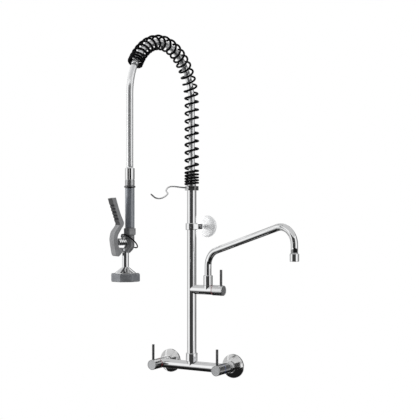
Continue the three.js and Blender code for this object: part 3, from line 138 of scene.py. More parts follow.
class FaucetShape(bpy.types.PropertyGroup):
    """Angles and the fineness of round pieces"""

    spout_turn: angle("Spout turn", "Direction of the spout, from the right towards the wall", -15)
    spout_slope: angle("Spout slope", "Slope of the spout's long stretch", 16.5)
    spring_end: angle("Spring end", "Arch that is left where the spring ends", 30)
    gun_turn: angle("Gun turn", "Direction of the trigger, from the right towards the wall", 240)
    ring_tilt: angle("Hold ring tilt", "Slope of the wire hold ring", 41)
    ring_roll: angle("Hold ring roll", "Turn of the wire hold ring about its length", 12)
    round_steps: IntProperty(name="Round steps", description="Sides of a turned piece", default=64, min=12)
    curl_steps: IntProperty(name="Curl steps", description="Steps in one curl of the spring",
                            default=24, min=8)


class FaucetColours(bpy.types.PropertyGroup):
    """Colours of the finishes"""

    chrome: colour("Chrome", "Plated brass and steel", (0.88, 0.885, 0.89))
    satin_chrome: colour("Satin chrome", "Covers and flange at the wall", (0.95, 0.95, 0.95))
    steel: colour("Satin steel", "Screws, pins and the matt knob faces", (0.62, 0.63, 0.64))
    brass: colour("Brass", "Valve parts inside the knobs", (0.55, 0.40, 0.15))
    alloy: colour("Cast alloy", "Trigger and valve casting of the gun", (0.25, 0.252, 0.256))
    dark_steel: colour("Dark steel", "Knurled bonnet and the ring on the grip", (0.17, 0.172, 0.175))
    # painted shade: a near-black colour that stands for the shade in the trigger's finger grooves
    recess: colour("Recess", "Finger grooves of the trigger", (0.012, 0.012, 0.014))
    wire: colour("Coated wire", "Spring and hold ring", (0.004, 0.004, 0.0045))
    hose: colour("Hose sleeve", "Sleeve of the hose", (0.9, 0.905, 0.91))
    grip: colour("Grip", "Moulded grip of the gun", (0.185, 0.2, 0.222))
    rubber: colour("Rubber", "Bumper round the spray face", (0.19, 0.195, 0.205))
    nylon: colour("Nylon", "Bushing and aerator insert", (0.82, 0.81, 0.77))
    hot: colour("Hot ring", "Indicator ring of the hot valve", (0.38, 0.03, 0.035))
    cold: colour("Cold ring", "Indicator ring of the cold valve", (0.03, 0.09, 0.36))
    spout: colour("Spout ring", "Indicator ring of the spout's valve", (0.22, 0.025, 0.04))


def sizes_of(context):
    """The panel's sizes in millimetres, its angles in radians and its counts."""
    lengths = {key: getattr(context.scene.faucet_sizes, key) / MM for key in FaucetSizes.__annotations__}
    shape = {key: getattr(context.scene.faucet_shape, key) for key in FaucetShape.__annotations__}
    return SimpleNamespace(**lengths, **shape)


# ---- Shapes: each returns a bmesh in millimetres ----------------------------------------------------

CAP_STEPS = 4  # rings that round off the end of a wire
CAP_TIP = 0.05  # scale of the last ring, which closes it


def blank():
    """An empty shape, with the layer that patterns follow along it."""
    bm = bmesh.new()
    bm.verts.layers.float_vector.new(FLOW)
    return bm


def cleaned(bm, place):
    """Weld a shape, turn its faces outwards and put it in place."""
    bmesh.ops.remove_doubles(bm, verts=bm.verts, dist=WELD)
    bmesh.ops.recalc_face_normals(bm, faces=bm.faces)
    bmesh.ops.transform(bm, matrix=place, verts=bm.verts)
    return bm


def turned(profile, steps=64, place=Matrix()):
    """Turn a line of (radius, height) points about the Z axis."""
    bm = blank()
    flow = bm.verts.layers.float_vector[FLOW]
    verts = [bm.verts.new((radius, 0, height)) for radius, height in profile]
    along = 0.0
    for i, vert in enumerate(verts):
        if i:
            along += math.dist(profile[i - 1], profile[i])
        vert[flow] = (1, 0, along)
    edges = [bm.edges.new(pair) for pair in zip(verts, verts[1:])]
    bmesh.ops.spin(bm, geom=verts + edges, cent=(0, 0, 0), axis=UP, dvec=(0, 0, 0),
                   angle=FULL_TURN, steps=steps, use_merge=True)
    return cleaned(bm, place)


def rod(radius, start, end, chamfer=0.0, steps=64, place=Matrix()):
    """A round rod between two heights, with chamfered ends."""
    profile = [(0, start), (radius - chamfer, start), (radius, start + chamfer), (radius, end - chamfer),
               (radius - chamfer, end), (0, end)]
    if not chamfer:
        profile = [(0, start), (radius, start), (radius, end), (0, end)]
    return turned(profile, steps, place)


def sleeve(outer, inner, start, end, chamfer=0.0, steps=64, place=Matrix()):
    """A round sleeve between two heights, with chamfered outer edges."""
    profile = [(inner, start), (outer - chamfer, start), (outer, start + chamfer), (outer, end - chamfer),
               (outer - chamfer, end), (inner, end), (inner, start)]
    if not chamfer:
        profile = [(inner, start), (outer, start), (outer, end), (inner, end), (inner, start)]
    return turned(profile, steps, place)


def block(low, high, place=Matrix()):
    """A box between two corners."""
    bm = blank()
    low = Vector(low)
    high = Vector(high)
    stretch = Matrix.LocRotScale((low + high) / 2, None, high - low)
    bmesh.ops.create_cube(bm, size=1, matrix=stretch)
    return cleaned(bm, place)


def slab(outline, width, place=Matrix()):
    """A plate with an outline of (x, z) points, spread evenly to both sides of the plane Y = 0."""
    bm = blank()
    verts = [bm.verts.new((x, -width / 2, z)) for x, z in outline]
    edges = [bm.edges.new(pair) for pair in zip(verts, verts[1:] + verts[:1])]
    bmesh.ops.edgeloop_fill(bm, edges=edges)
    grown = bmesh.ops.extrude_face_region(bm, geom=bm.faces[:])["geom"]
    far_side = [item for item in grown if isinstance(item, bmesh.types.BMVert)]
    bmesh.ops.translate(bm, vec=(0, width, 0), verts=far_side)
    return cleaned(bm, place)


def circle(radius, sides):
    """A round section as (x, y) points."""
    turns = [FULL_TURN * i / sides for i in range(sides)]
    return [(radius * math.cos(t), radius * math.sin(t)) for t in turns]


def ribbed(radius, depth, ribs):
    """A round section whose edge goes in and out."""
    points = circle(1.0, 2 * ribs)
    reach = [radius - depth * (i % 2) for i in range(2 * ribs)]
    return [(x * r, y * r) for (x, y), r in zip(points, reach)]


def frames_along(points, closed):
    """Matrices that carry a flat section to each point of a line without twisting it."""
    count = len(points)
    tangents = []
    for i in range(count):
        before = points[i - 1] if closed or i else points[0]
        after = points[(i + 1) % count] if closed or i + 1 < count else points[-1]
        tangents.append((after - before).normalized())
    turn = UP.rotation_difference(tangents[0])
    frames = []
    for i, point in enumerate(points):
        turn = tangents[i - 1].rotation_difference(tangents[i]) @ turn if i else turn
        frames.append(Matrix.LocRotScale(point, turn, None))
    return frames


def swept(section, points, closed=False, scales=None, place=Matrix()):
    """Draw a closed section along a line, with a scale for each point."""
    bm = blank()
    flow = bm.verts.layers.float_vector[FLOW]
    spot = bm.verts.layers.int.new("spot")
    frames = frames_along(points, closed)
    ring = [bm.verts.new((x, y, 0)) for x, y in section]
    for i, vert in enumerate(ring):
        vert[spot] = i
    edges = [bm.edges.new(pair) for pair in zip(ring, ring[1:] + ring[:1])]
    order = list(range(len(points)))
    if closed:
        order.append(0)
    along = 0.0
    for step, index in enumerate(order):
        if step:
            grown = bmesh.ops.extrude_edge_only(bm, edges=edges)["geom"]
            ring = [item for item in grown if isinstance(item, bmesh.types.BMVert)]
            edges = [item for item in grown if isinstance(item, bmesh.types.BMEdge) and item.is_boundary]
            along += (points[index] - points[order[step - 1]]).length
        elif not closed:
            first = edges
        scale = scales[index] if scales else 1.0
        for vert in ring:
            x, y = section[vert[spot]]
            vert.co = frames[index] @ Vector((x * scale, y * scale, 0))
            vert[flow] = (*Vector((x, y)).normalized(), along)
    if not closed:
        bmesh.ops.edgeloop_fill(bm, edges=first)
        bmesh.ops.edgeloop_fill(bm, edges=edges)
    bm.verts.layers.int.remove(spot)
    return cleaned(bm, place)


def round_ends(points, radius):
    """A wire's line with points added that round off both ends, and the scale at each of its points."""
    line = list(points)
    scales = [1.0] * len(points)
    turns = [QUARTER_TURN * k / CAP_STEPS for k in range(1, CAP_STEPS + 1)]
    for end, inner in ((0, 1), (-1, -2)):
        outwards = (points[end] - points[inner]).normalized()
        caps = [(points[end] + outwards * radius * math.sin(t), max(math.cos(t), CAP_TIP)) for t in turns]
        if end == 0:
            line = [point for point, _ in reversed(caps)] + line
            scales = [scale for _, scale in reversed(caps)] + scales
        else:
            line += [point for point, _ in caps]
            scales += [scale for _, scale in caps]
    return line, scales


# ---- Lines ------------------------------------------------------------------------------------------

def arc(centre, radius, start, end, steps):
    """Points on an arc in the plane of X and Z, its angles in radians from X."""
    turns = [start + (end - start) * i / steps for i in range(steps + 1)]
    return [centre + RIGHT * radius * math.cos(t) + UP * radius * math.sin(t) for t in turns]


def smooth_line(knots, steps):
    """A line through its knots, bent as a centripetal spline."""
    knots = [Vector(knot) for knot in knots]
    ends = [2 * knots[0] - knots[1], *knots, 2 * knots[-1] - knots[-2]]
    line = [knots[0]]
    for a, b, c, d in zip(ends, ends[1:], ends[2:], ends[3:]):
        before, span, after = ((q - p).length ** 0.5 for p, q in ((a, b), (b, c), (c, d)))
        leave = ((b - a) / before - (c - a) / (before + span) + (c - b) / span) * span
        arrive = ((c - b) / span - (d - b) / (span + after) + (d - c) / after) * span
        for i in range(1, steps + 1):
            t = i / steps
            line.append((2 * t ** 3 - 3 * t ** 2 + 1) * b + (t ** 3 - 2 * t ** 2 + t) * leave
                        + (3 * t ** 2 - 2 * t ** 3) * c + (t ** 3 - t ** 2) * arrive)
    return line


def evenly(points, spacing):
    """The same line with points at even distances."""
    reach = [0.0]
    for before, after in zip(points, points[1:]):
        reach.append(reach[-1] + (after - before).length)
    count = max(2, round(reach[-1] / spacing))
    line = []
    place = 0
    for i in range(count + 1):
        distance = reach[-1] * i / count
        while place < len(points) - 2 and reach[place + 1] < distance:
            place += 1
        share = (distance - reach[place]) / (reach[place + 1] - reach[place])
        line.append(points[place].lerp(points[place + 1], share))
    return line


def interpolated(table, value):
    """A value read from a table of (place, value) pairs."""
    for (a, low), (b, high) in zip(table, table[1:]):
        if value <= b:
            return low + (high - low) * max(value - a, 0.0) / (b - a)
    return table[-1][1]


# ---- Places -----------------------------------------------------------------------------------------

def wall_place(side, height):
    """A spot on the wall, so far to the right and up: local Z comes out of the wall."""
    return Matrix.Translation((side, 0, height)) @ Matrix.Rotation(QUARTER_TURN, 4, "X")


def inlet_place(size, side):
    """Wall inlet. side is -1 for hot and 1 for cold."""
    return wall_place(side * size.inlet_spacing / 2, 0)


def riser_place(size, side=0, height=0):
    """The plane of the riser's axis, so far to the right of it and up: local Z is up."""
    return Matrix.Translation((side, -size.standoff, height))


def branch_place(size):
    """Spout branch: local Z goes to the right from the riser's axis, local Y is up."""
    turn = Matrix(((0, 0, 1, 0), (1, 0, 0, 0), (0, 1, 0, 0), (0, 0, 0, 1)))
    return riser_place(size, 0, size.branch_height) @ turn


def along_x(place):
    """Turn a shape's Z axis to the X axis of a place."""
    return place @ Matrix.Rotation(QUARTER_TURN, 4, "Y")


def along_y(place):
    """Turn a shape's Z axis to the Y axis of a place."""
    return place @ Matrix.Rotation(-QUARTER_TURN, 4, "X")


def raised(place, height):
    """A place moved along its own Z axis."""
    return place @ Matrix.Translation((0, 0, height))


def gun_place(size):
    """Spray gun: local X is the side where the trigger is."""
    return (Matrix.Translation((0, -size.standoff - 2 * size.arch_radius, 0))
            @ Matrix.Rotation(size.gun_turn, 4, "Z"))


# ---- Finishes ---------------------------------------------------------------------------------------

PATTERN_RANGE = (0.3, 0.7)  # a cloudy pattern's values mostly lie between these


class Finish:
    """A material whose patterns are added one by one."""

    def __init__(self, name, **constants):
        self.material = bpy.data.materials.new(name)
        self.material.use_nodes = True
        self.tree = self.material.node_tree
        self.surface = self.tree.nodes["Principled BSDF"]
        for key, value in constants.items():
            self.surface.inputs[key.replace("_", " ").title().replace("Ior", "IOR")].default_value = value

    def node(self, kind, inputs=(), **settings):
        """Add a node; inputs are (socket, value or other socket) pairs."""
        made = self.tree.nodes.new(kind)
        for key, value in settings.items():
            setattr(made, key, value)
        for socket, value in inputs:
            if isinstance(value, bpy.types.NodeSocket):
                self.tree.links.new(value, made.inputs[socket])
            else:
                made.inputs[socket].default_value = value
        return made

    def place(self, scale, attribute=None):
        """Where a pattern lies: the model's own metres, or an attribute of the piece."""
        if attribute:
            source = self.node("ShaderNodeAttribute", attribute_name=attribute).outputs["Vector"]
        else:
            source = self.node("ShaderNodeTexCoord").outputs["Object"]
        return self.node("ShaderNodeMapping", [("Vector", source), ("Scale", scale)]).outputs["Vector"]

    def clouds(self, scale, detail, attribute=None):
        """A cloudy pattern from 0 to 1. scale is one number, or one for each axis."""
        scales = (scale,) * 3 if isinstance(scale, (int, float)) else scale
        return self.node("ShaderNodeTexNoise", [
            ("Vector", self.place(scales, attribute)), ("Scale", 1.0), ("Detail", detail)]).outputs["Fac"]

    def rings(self, scale, detail):
        """Uneven rings round a turned piece, as a lathe leaves them."""
        return self.clouds((0, 0, scale), detail, FLOW)

    def tint(self, pattern, dark, light, limits=PATTERN_RANGE):
        """Let a pattern vary the colour."""
        ramp = self.node("ShaderNodeValToRGB", [("Fac", pattern)])
        for element, position, tone in zip(ramp.color_ramp.elements, limits, (dark, light)):
            element.position = position
            element.color = (*tone, 1)
        self.tree.links.new(ramp.outputs["Color"], self.surface.inputs["Base Color"])

    def gloss(self, pattern, low, high):
        """Let a pattern vary the roughness."""
        spread = self.node("ShaderNodeMapRange", [
            ("Value", pattern), ("From Min", PATTERN_RANGE[0]), ("From Max", PATTERN_RANGE[1]),
            ("To Min", low), ("To Max", high)])
        self.tree.links.new(spread.outputs["Result"], self.surface.inputs["Roughness"])

    def relief(self, pattern, depth, strength):
        """Raise a pattern by a depth in metres."""
        bump = self.node("ShaderNodeBump", [
            ("Height", pattern), ("Distance", depth), ("Strength", strength)])
        self.tree.links.new(bump.outputs["Normal"], self.surface.inputs["Normal"])


def shade(base, factor):
    """A colour made darker or lighter."""
    return tuple(min(1.0, channel * factor) for channel in base)


def chrome_finish(colours):
    """Bright plate: smooth, clouded by wiping, over the slow waves of polished tube."""
    finish = Finish("chrome_plate", metallic=1.0)
    clouds = finish.clouds(18, 4.0)
    waves = finish.clouds((14, 14, 9), 0.0)
    finish.tint(clouds, shade(colours.chrome, 0.95), shade(colours.chrome, 1.03))
    finish.gloss(clouds, 0.035, 0.06)
    finish.relief(waves, 0.0003, 0.008)
    return finish.material


def turned_chrome_finish(colours):
    """Plate over a lathe's fine rings, on the small knobs and nuts."""
    finish = Finish("turned_chrome", metallic=1.0)
    clouds = finish.clouds(30, 3.0)
    rings = finish.rings(5, 2.0)
    finish.tint(clouds, shade(colours.chrome, 0.86), shade(colours.chrome, 0.98))
    finish.gloss(rings, 0.17, 0.24)
    finish.relief(rings, 0.00003, 0.35)
    return finish.material


def brushed_finish(name, base, metallic, roughness):
    """Plate with the fine rings of a lathe."""
    finish = Finish(name, metallic=metallic)
    rings = finish.rings(6, 3.0)
    clouds = finish.clouds(60, 3.0)
    finish.tint(clouds, shade(base, 0.92), shade(base, 1.04))
    finish.gloss(rings, roughness, roughness + 0.05)
    finish.relief(rings, 0.00003, 0.3)
    return finish.material


def satin_chrome_finish(colours):
    """Brushed plate on the covers at the wall, with turned marks."""
    return brushed_finish("satin_chrome", colours.satin_chrome, 1.0, 0.13)


def pale_plate_finish(colours):
    """Bead-blasted plate on the stay's flange, which scatters more light than it mirrors."""
    return brushed_finish("pale_plate", colours.satin_chrome, 0.12, 0.32)


def satin_finish(colours):
    """Satin steel with turned marks."""
    finish = Finish("satin_steel", metallic=1.0)
    rings = finish.rings(7, 3.0)
    clouds = finish.clouds(120, 4.0)
    finish.tint(clouds, shade(colours.steel, 0.85), shade(colours.steel, 1.05))
    finish.gloss(rings, 0.28, 0.42)
    finish.relief(rings, 0.00004, 0.5)
    return finish.material


def brass_finish(colours):
    """Machined brass, dull in patches."""
    finish = Finish("valve_brass", metallic=1.0)
    clouds = finish.clouds(90, 5.0)
    finish.tint(clouds, shade(colours.brass, 0.6), colours.brass)
    finish.gloss(clouds, 0.45, 0.25)
    finish.relief(finish.clouds(900, 3.0), 0.00003, 0.4)
    return finish.material


def alloy_finish(name, base):
    """Cast grey metal with a fine grain and slow patches of sheen."""
    finish = Finish(name, metallic=0.5)
    patches = finish.clouds(55, 4.0)
    grain = finish.clouds(1400, 2.0)
    finish.tint(patches, shade(base, 0.82), shade(base, 1.18))
    finish.gloss(grain, 0.3, 0.46)
    finish.relief(grain, 0.00006, 0.35)
    return finish.material


def dark_steel_finish(colours):
    """Darkened steel, polished by handling, with turned marks."""
    finish = Finish("dark_steel", metallic=1.0)
    rings = finish.rings(5, 3.0)
    clouds = finish.clouds(110, 3.0)
    finish.tint(clouds, shade(colours.dark_steel, 0.75), shade(colours.dark_steel, 1.3))
    finish.gloss(rings, 0.16, 0.26)
    finish.relief(rings, 0.00003, 0.4)
    return finish.material


def groove_shade_finish(colours):
    """Painted shade in the trigger's finger grooves: casting coloured near black and made rough."""
    finish = Finish("casting_recess", metallic=0.3, specular_ior_level=0.2)
    grain = finish.clouds(900, 3.0)
    finish.tint(grain, shade(colours.recess, 0.6), shade(colours.recess, 1.6))
    finish.gloss(grain, 0.5, 0.7)
    finish.relief(grain, 0.0001, 0.4)
    return finish.material


def wire_finish(colours):
    """Black coating on drawn wire."""
    finish = Finish("black_wire", specular_ior_level=0.04)
    patches = finish.clouds(160, 4.0)
    finish.tint(patches, shade(colours.wire, 0.6), shade(colours.wire, 1.8))
    finish.gloss(patches, 0.3, 0.45)
    finish.relief(finish.clouds(1200, 2.0), 0.00005, 0.4)
    return finish.material


def hose_finish(colours):
    """Silvery sleeve with long faint streaks and a fine braid under its skin."""
    finish = Finish("hose_sleeve", metallic=0.75, coat_weight=0.5, coat_roughness=0.06)
    streaks = finish.clouds((1.6, 1.6, 0.003), 2.0, FLOW)
    braid = finish.node("ShaderNodeTexWave", [("Vector", finish.place((0, 0, 0.32), FLOW)), ("Scale", 1.0)],
                        bands_direction="Z").outputs["Fac"]
    finish.tint(streaks, shade(colours.hose, 0.92), shade(colours.hose, 1.08), limits=(0.35, 0.65))
    finish.gloss(streaks, 0.14, 0.18)
    finish.relief(braid, 0.000003, 0.03)
    return finish.material


def grip_finish(colours):
    """Moulded grip: satin skin, fine grain, faint flow marks along its length."""
    finish = Finish("grip_plastic", coat_weight=1.0, coat_roughness=0.12, coat_ior=1.9)
    flow_marks = finish.clouds((120, 120, 12), 3.0)
    grain = finish.node("ShaderNodeTexVoronoi", [
        ("Vector", finish.place((1600, 1600, 1600))), ("Scale", 1.0)]).outputs["Distance"]
    finish.tint(flow_marks, shade(colours.grip, 0.86), shade(colours.grip, 1.16))
    finish.gloss(flow_marks, 0.26, 0.36)
    finish.relief(grain, 0.00004, 0.3)
    return finish.material


def rubber_finish(colours):
    """Moulded rubber with a bloom on its skin and small pits."""
    finish = Finish("bumper_rubber")
    bloom = finish.clouds(70, 5.0)
    pits = finish.clouds(900, 3.0)
    finish.tint(bloom, shade(colours.rubber, 0.82), shade(colours.rubber, 1.22))
    finish.gloss(bloom, 0.5, 0.68)
    finish.relief(pits, 0.00012, 0.35)
    return finish.material


def nylon_finish(colours):
    """Moulded nylon, slightly uneven."""
    finish = Finish("nylon")
    clouds = finish.clouds(150, 3.0)
    finish.tint(clouds, shade(colours.nylon, 0.88), colours.nylon)
    finish.gloss(clouds, 0.4, 0.55)
    finish.relief(clouds, 0.0001, 0.2)
    return finish.material


def enamel_finish(name, base):
    """Glossy enamel of an indicator ring."""
    finish = Finish(name, coat_weight=0.5, coat_roughness=0.1)
    clouds = finish.clouds(400, 3.0)
    finish.tint(clouds, shade(base, 0.8), shade(base, 1.15))
    finish.gloss(clouds, 0.3, 0.42)
    finish.relief(clouds, 0.00005, 0.3)
    return finish.material


# Each finish's slot, which is one for finishes of the same stuff, and what makes its material.
FINISHES = {
    "chrome": ("chrome_plate", chrome_finish),
    "turned_chrome": ("chrome_plate", turned_chrome_finish),
    "satin_chrome": ("chrome_plate", satin_chrome_finish),
    "pale_plate": ("chrome_plate", pale_plate_finish),
    "steel": ("satin_steel", satin_finish),
    "brass": ("valve_brass", brass_finish),
    "alloy": ("cast_alloy", lambda colours: alloy_finish("cast_alloy", colours.alloy)),
    # painted shade: the finger pad's front faces get the cast alloy at a sixth of its brightness
    "ribs": ("cast_alloy", lambda colours: alloy_finish("ribbed_alloy", shade(colours.alloy, 0.16))),
    "dark_steel": ("satin_steel", dark_steel_finish),
    # painted shade: the near-black casting colour in the trigger's finger grooves
    "recess": ("cast_alloy", groove_shade_finish),
    "wire": ("black_wire", wire_finish),
    "hose": ("hose_sleeve", hose_finish),
    "grip": ("grip_plastic", grip_finish),
    "rubber": ("bumper_rubber", rubber_finish),
    "nylon": ("nylon", nylon_finish),
    "hot": ("hot_red", lambda colours: enamel_finish("hot_red", colours.hot)),
    "cold": ("cold_blue", lambda colours: enamel_finish("cold_blue", colours.cold)),
    "spout": ("spout_dark_red", lambda colours: enamel_finish("spout_dark_red", colours.spout)),
}
made_finishes = {}


def finish_material(context, key):
    """The material of a finish, made once."""
    if key not in made_finishes:
        group = context.scene.faucet_colours
        colours = {name: tuple(getattr(group, name)) for name in FaucetColours.__annotations__}
        made_finishes[key] = FINISHES[key][1](SimpleNamespace(**colours))
    return made_finishes[key]


# ---- Pieces -----------------------------------------------------------------------------------------

ROUNDING_SEGMENTS = 2
SHARP_EDGE = math.radians(30)  # edges that turn more than this are rounded


def new_object(context, name, shapes):
    """Join shapes to one smooth mesh, in metres, with its object at the origin."""
    whole = bmesh.new()
    for shape in shapes:
        part = bpy.data.meshes.new("part")
        shape.to_mesh(part)
        shape.free()
        whole.from_mesh(part)
        bpy.data.meshes.remove(part)
    bmesh.ops.scale(whole, vec=(MM, MM, MM), verts=whole.verts)
    mesh = bpy.data.meshes.new(name)
    whole.to_mesh(mesh)
    whole.free()
    mesh.shade_smooth()
    piece = bpy.data.objects.new(name, mesh)
    context.scene.collection.objects.link(piece)
    return piece


def add_piece(context, name, shapes, finish, body, nodes, rounding=None, extras=()):
    """A finished piece that rides on a body and stands for CAD nodes.

    rounding is the width of its rounded edges in millimetres, or 0 for none. extras are further finishes,
    each with a test of a face's centre, in metres, and normal, that says where it goes.
    """
    piece = new_object(context, name, shapes)
    piece.data.materials.append(finish_material(context, finish))
    for index, (other, test) in enumerate(extras, 1):
        piece.data.materials.append(finish_material(context, other))
        for face in piece.data.polygons:
            if test(face.center, face.normal):
                face.material_index = index
    width = context.scene.faucet_sizes.rounding if rounding is None else rounding * MM
    if width:
        bevel = piece.modifiers.new("rounding", "BEVEL")
        bevel.width = width
        bevel.segments = ROUNDING_SEGMENTS
        bevel.limit_method = "ANGLE"
        bevel.angle_limit = SHARP_EDGE
        bevel.harden_normals = True
        bevel.material = -1
    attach(piece, body)
    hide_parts(*nodes)


class FaucetOperator:
    """What the faucet's operators share."""

    bl_options = {"REGISTER"}


# ---- Stage ------------------------------------------------------------------------------------------

CAMERA_PLACE = (1.3702, -2.3111, 0.42745)
CAMERA_TURN = math.radians(30.2)
CAMERA_LENS = 82.37
CAMERA_SENSOR = 36  # millimetres, as the lens
WORLD_TINT = (0.95, 0.97, 1.0)
WORLD_STRENGTH = 0.34
FLOOR_HEIGHT = -0.45
FLOOR_RADIUS = 1.3
FLOOR_FADE = 0.45  # share of the radius where the floor starts to fade to white
FLOOR_TONES = ((0.86, 0.86, 0.86), (0.9, 0.9, 0.9))
FLAG_STEPS = 16

# Screens round the riser that only mirrors see: where each starts and ends, in degrees from the camera's
# side, right positive, the (distance, height) of its two edges in millimetres, and its brightness.
WALL_FOOT = (3000, -700)
WALL_TOP = (3000, 1900)
FLAGS = (
    ("back_left_flag", -180, -98, WALL_FOOT, WALL_TOP, 0.55),
    ("front_flag", -52, 34, WALL_FOOT, WALL_TOP, 0.05),
    ("front_shade", -52, 34, (2950, 555), (2950, 670), 0.006),
    ("front_card", -17, -8, (2900, 555), (2900, 670), 1.0),
    ("right_flag", 74, 112, WALL_FOOT, WALL_TOP, 0.42),
    ("back_right_flag", 112, 180, WALL_FOOT, WALL_TOP, 0.06),
    ("low_front_flag", -30, 100, (300, -405), (2500, -405), 0.012),
    ("low_left_flag", -110, -30, (300, -415), (1500, -415), 0.28),
    ("low_back_flag", 100, 250, (700, -415), (3600, -415), 0.35),
)
# Level square screens: half their width, their place from the riser's axis, and their brightness.
LEVEL_FLAGS = (
    ("floor_flag", 800, (300, 254, -410), 0.012),
    ("top_flag", 2900, (0, 0, 2400), 0.62),
)
# Lamps: place, what they aim at, width, height, power in watts.
LAMPS = (
    ("left_softbox", (-2.36, -1.5, 0.6), (0, -0.2, 0.35), 1.2, 2.4, 106),
    ("right_softbox", (2.6, 0.8, 0.6), (0, -0.2, 0.35), 1.2, 2.0, 27),
    ("top_softbox", (0.2, -0.9, 2.7), (0, -0.2, 0.4), 2.0, 2.0, 20),
)


class FAUCET_OT_stage(FaucetOperator, bpy.types.Operator):
    """Make the camera, a pale floor, a white world, soft lamps and the screens that chrome mirrors"""

    bl_idname = "faucet.stage"
    bl_label = "Studio"

    def execute(self, context):
        size = sizes_of(context)
        self.camera(context)
        self.world(context)
        self.floor(context)
        self.flags(context, size)
        self.lamps(context)
        context.scene.view_settings.view_transform = "Standard"
        return {"FINISHED"}

    def camera(self, context):
        """The camera of the photograph: level, and turned towards the faucet."""
        data = bpy.data.cameras.new("camera")
        data.lens = CAMERA_LENS
        data.sensor_width = CAMERA_SENSOR
        camera = bpy.data.objects.new("camera", data)
        camera.location = CAMERA_PLACE
        camera.rotation_euler = (QUARTER_TURN, 0, CAMERA_TURN)
        context.scene.collection.objects.link(camera)
        context.scene.camera = camera

    def seen_directly(self, tree):
        """1 for camera, glossy and transmission rays, so mirrors and glass show the backdrop too."""
        rays = tree.nodes.new("ShaderNodeLightPath")
        total = rays.outputs["Is Camera Ray"]
        for name in ("Is Glossy Ray", "Is Transmission Ray"):
            larger = tree.nodes.new("ShaderNodeMath")
            larger.operation = "MAXIMUM"
            tree.links.new(total, larger.inputs[0])
            tree.links.new(rays.outputs[name], larger.inputs[1])
            total = larger.outputs[0]
        return total

    def world(self, context):
        """A soft pale world that is seen as white."""
        world = bpy.data.worlds.new("studio")
        world.use_nodes = True
        context.scene.world = world
        tree = world.node_tree
        soft = tree.nodes["Background"]
        soft.inputs["Color"].default_value = (*WORLD_TINT, 1)
        soft.inputs["Strength"].default_value = WORLD_STRENGTH
        white = tree.nodes.new("ShaderNodeBackground")
        white.inputs["Color"].default_value = (1, 1, 1, 1)
        mix = tree.nodes.new("ShaderNodeMixShader")
        tree.links.new(self.seen_directly(tree), mix.inputs["Fac"])
        tree.links.new(soft.outputs[0], mix.inputs[1])
        tree.links.new(white.outputs[0], mix.inputs[2])
        tree.links.new(mix.outputs[0], tree.nodes["World Output"].inputs["Surface"])

    def floor(self, context):
        """A pale disc that fades to white at its rim."""
        bm = bmesh.new()
        bmesh.ops.create_circle(bm, cap_ends=True, segments=64, radius=FLOOR_RADIUS / MM)
        bmesh.ops.translate(bm, vec=(0, 0, FLOOR_HEIGHT / MM), verts=bm.verts)
        floor = new_object(context, "floor", [bm])
        finish = Finish("pale_floor", roughness=0.8)
        grain = finish.clouds(4, 4.0)
        finish.tint(grain, *FLOOR_TONES)
        distance = finish.node("ShaderNodeVectorMath", [(0, finish.place((1, 1, 0)))], operation="LENGTH")
        rim = finish.node("ShaderNodeMapRange", [
            ("Value", distance.outputs["Value"]), ("From Min", FLOOR_FADE * FLOOR_RADIUS),
            ("From Max", FLOOR_RADIUS)], interpolation_type="SMOOTHSTEP")
        directly = self.seen_directly(finish.tree)
        fade = finish.node("ShaderNodeMath", [(0, rim.outputs["Result"]), (1, directly)],
                           operation="MULTIPLY")
        white = finish.node("ShaderNodeEmission", [("Color", (1, 1, 1, 1)), ("Strength", 1.0)])
        mix = finish.node("ShaderNodeMixShader", [
            ("Fac", fade.outputs[0]), (1, finish.surface.outputs[0]), (2, white.outputs[0])])
        finish.tree.links.new(mix.outputs[0], finish.tree.nodes["Material Output"].inputs["Surface"])
        floor.data.materials.append(finish.material)

    def flag(self, context, name, shape, brightness):
        """A plain screen that only mirrors see."""
        flag = new_object(context, name, [shape])
        finish = Finish(name)
        glow = finish.node("ShaderNodeEmission", [
            ("Color", (brightness, brightness, brightness, 1)), ("Strength", 1.0)])
        finish.tree.links.new(glow.outputs[0], finish.tree.nodes["Material Output"].inputs["Surface"])
        flag.data.materials.append(finish.material)
        flag.visible_camera = flag.visible_diffuse = flag.visible_shadow = False
        flag.visible_transmission = flag.visible_volume_scatter = False

    def flags(self, context, size):
        """All the screens: those that go round the riser, then the level ones."""
        for name, start, end, inner, outer, brightness in FLAGS:
            bm = bmesh.new()
            turn = CAMERA_TURN - QUARTER_TURN + math.radians(start)
            ends = [Vector((math.cos(turn) * reach, math.sin(turn) * reach - size.standoff, height))
                    for reach, height in (inner, outer)]
            verts = [bm.verts.new(point) for point in ends]
            edges = [bm.edges.new(verts)]
            bmesh.ops.spin(bm, geom=verts + edges, cent=(0, -size.standoff, 0), axis=UP, dvec=(0, 0, 0),
                           angle=math.radians(end - start), steps=FLAG_STEPS)
            self.flag(context, name, bm, brightness)
        for name, reach, (right, back, height), brightness in LEVEL_FLAGS:
            bm = bmesh.new()
            bmesh.ops.create_grid(bm, x_segments=1, y_segments=1, size=reach)
            bmesh.ops.translate(bm, vec=(right, back - size.standoff, height), verts=bm.verts)
            self.flag(context, name, bm, brightness)

    def lamps(self, context):
        """Soft lamps that light the faucet and aren't mirrored by it."""
        for name, place, aim, width, height, power in LAMPS:
            data = bpy.data.lights.new(name, "AREA")
            data.shape = "RECTANGLE"
            data.size = width
            data.size_y = height
            data.energy = power
            lamp = bpy.data.objects.new(name, data)
            lamp.location = place
            lamp.rotation_euler = (Vector(aim) - Vector(place)).to_track_quat("-Z", "Y").to_euler()
            lamp.visible_camera = lamp.visible_glossy = False
            context.scene.collection.objects.link(lamp)


# ---- Hose, spring, hook -----------------------------------------------------------------------------

HOSE_SIDES = 32
HOSE_STEP = 6  # distance between the free hose's rings
ROUTE_STEPS = 12


def arch_point(size, turn):
    """Hose centreline over the arch: a turn of pi at the riser and 0 at the drop."""
    centre = Vector((0, -size.standoff - size.arch_radius, size.arch_start))
    return centre + size.arch_radius * (FORWARD * math.cos(turn) + UP * math.sin(turn))


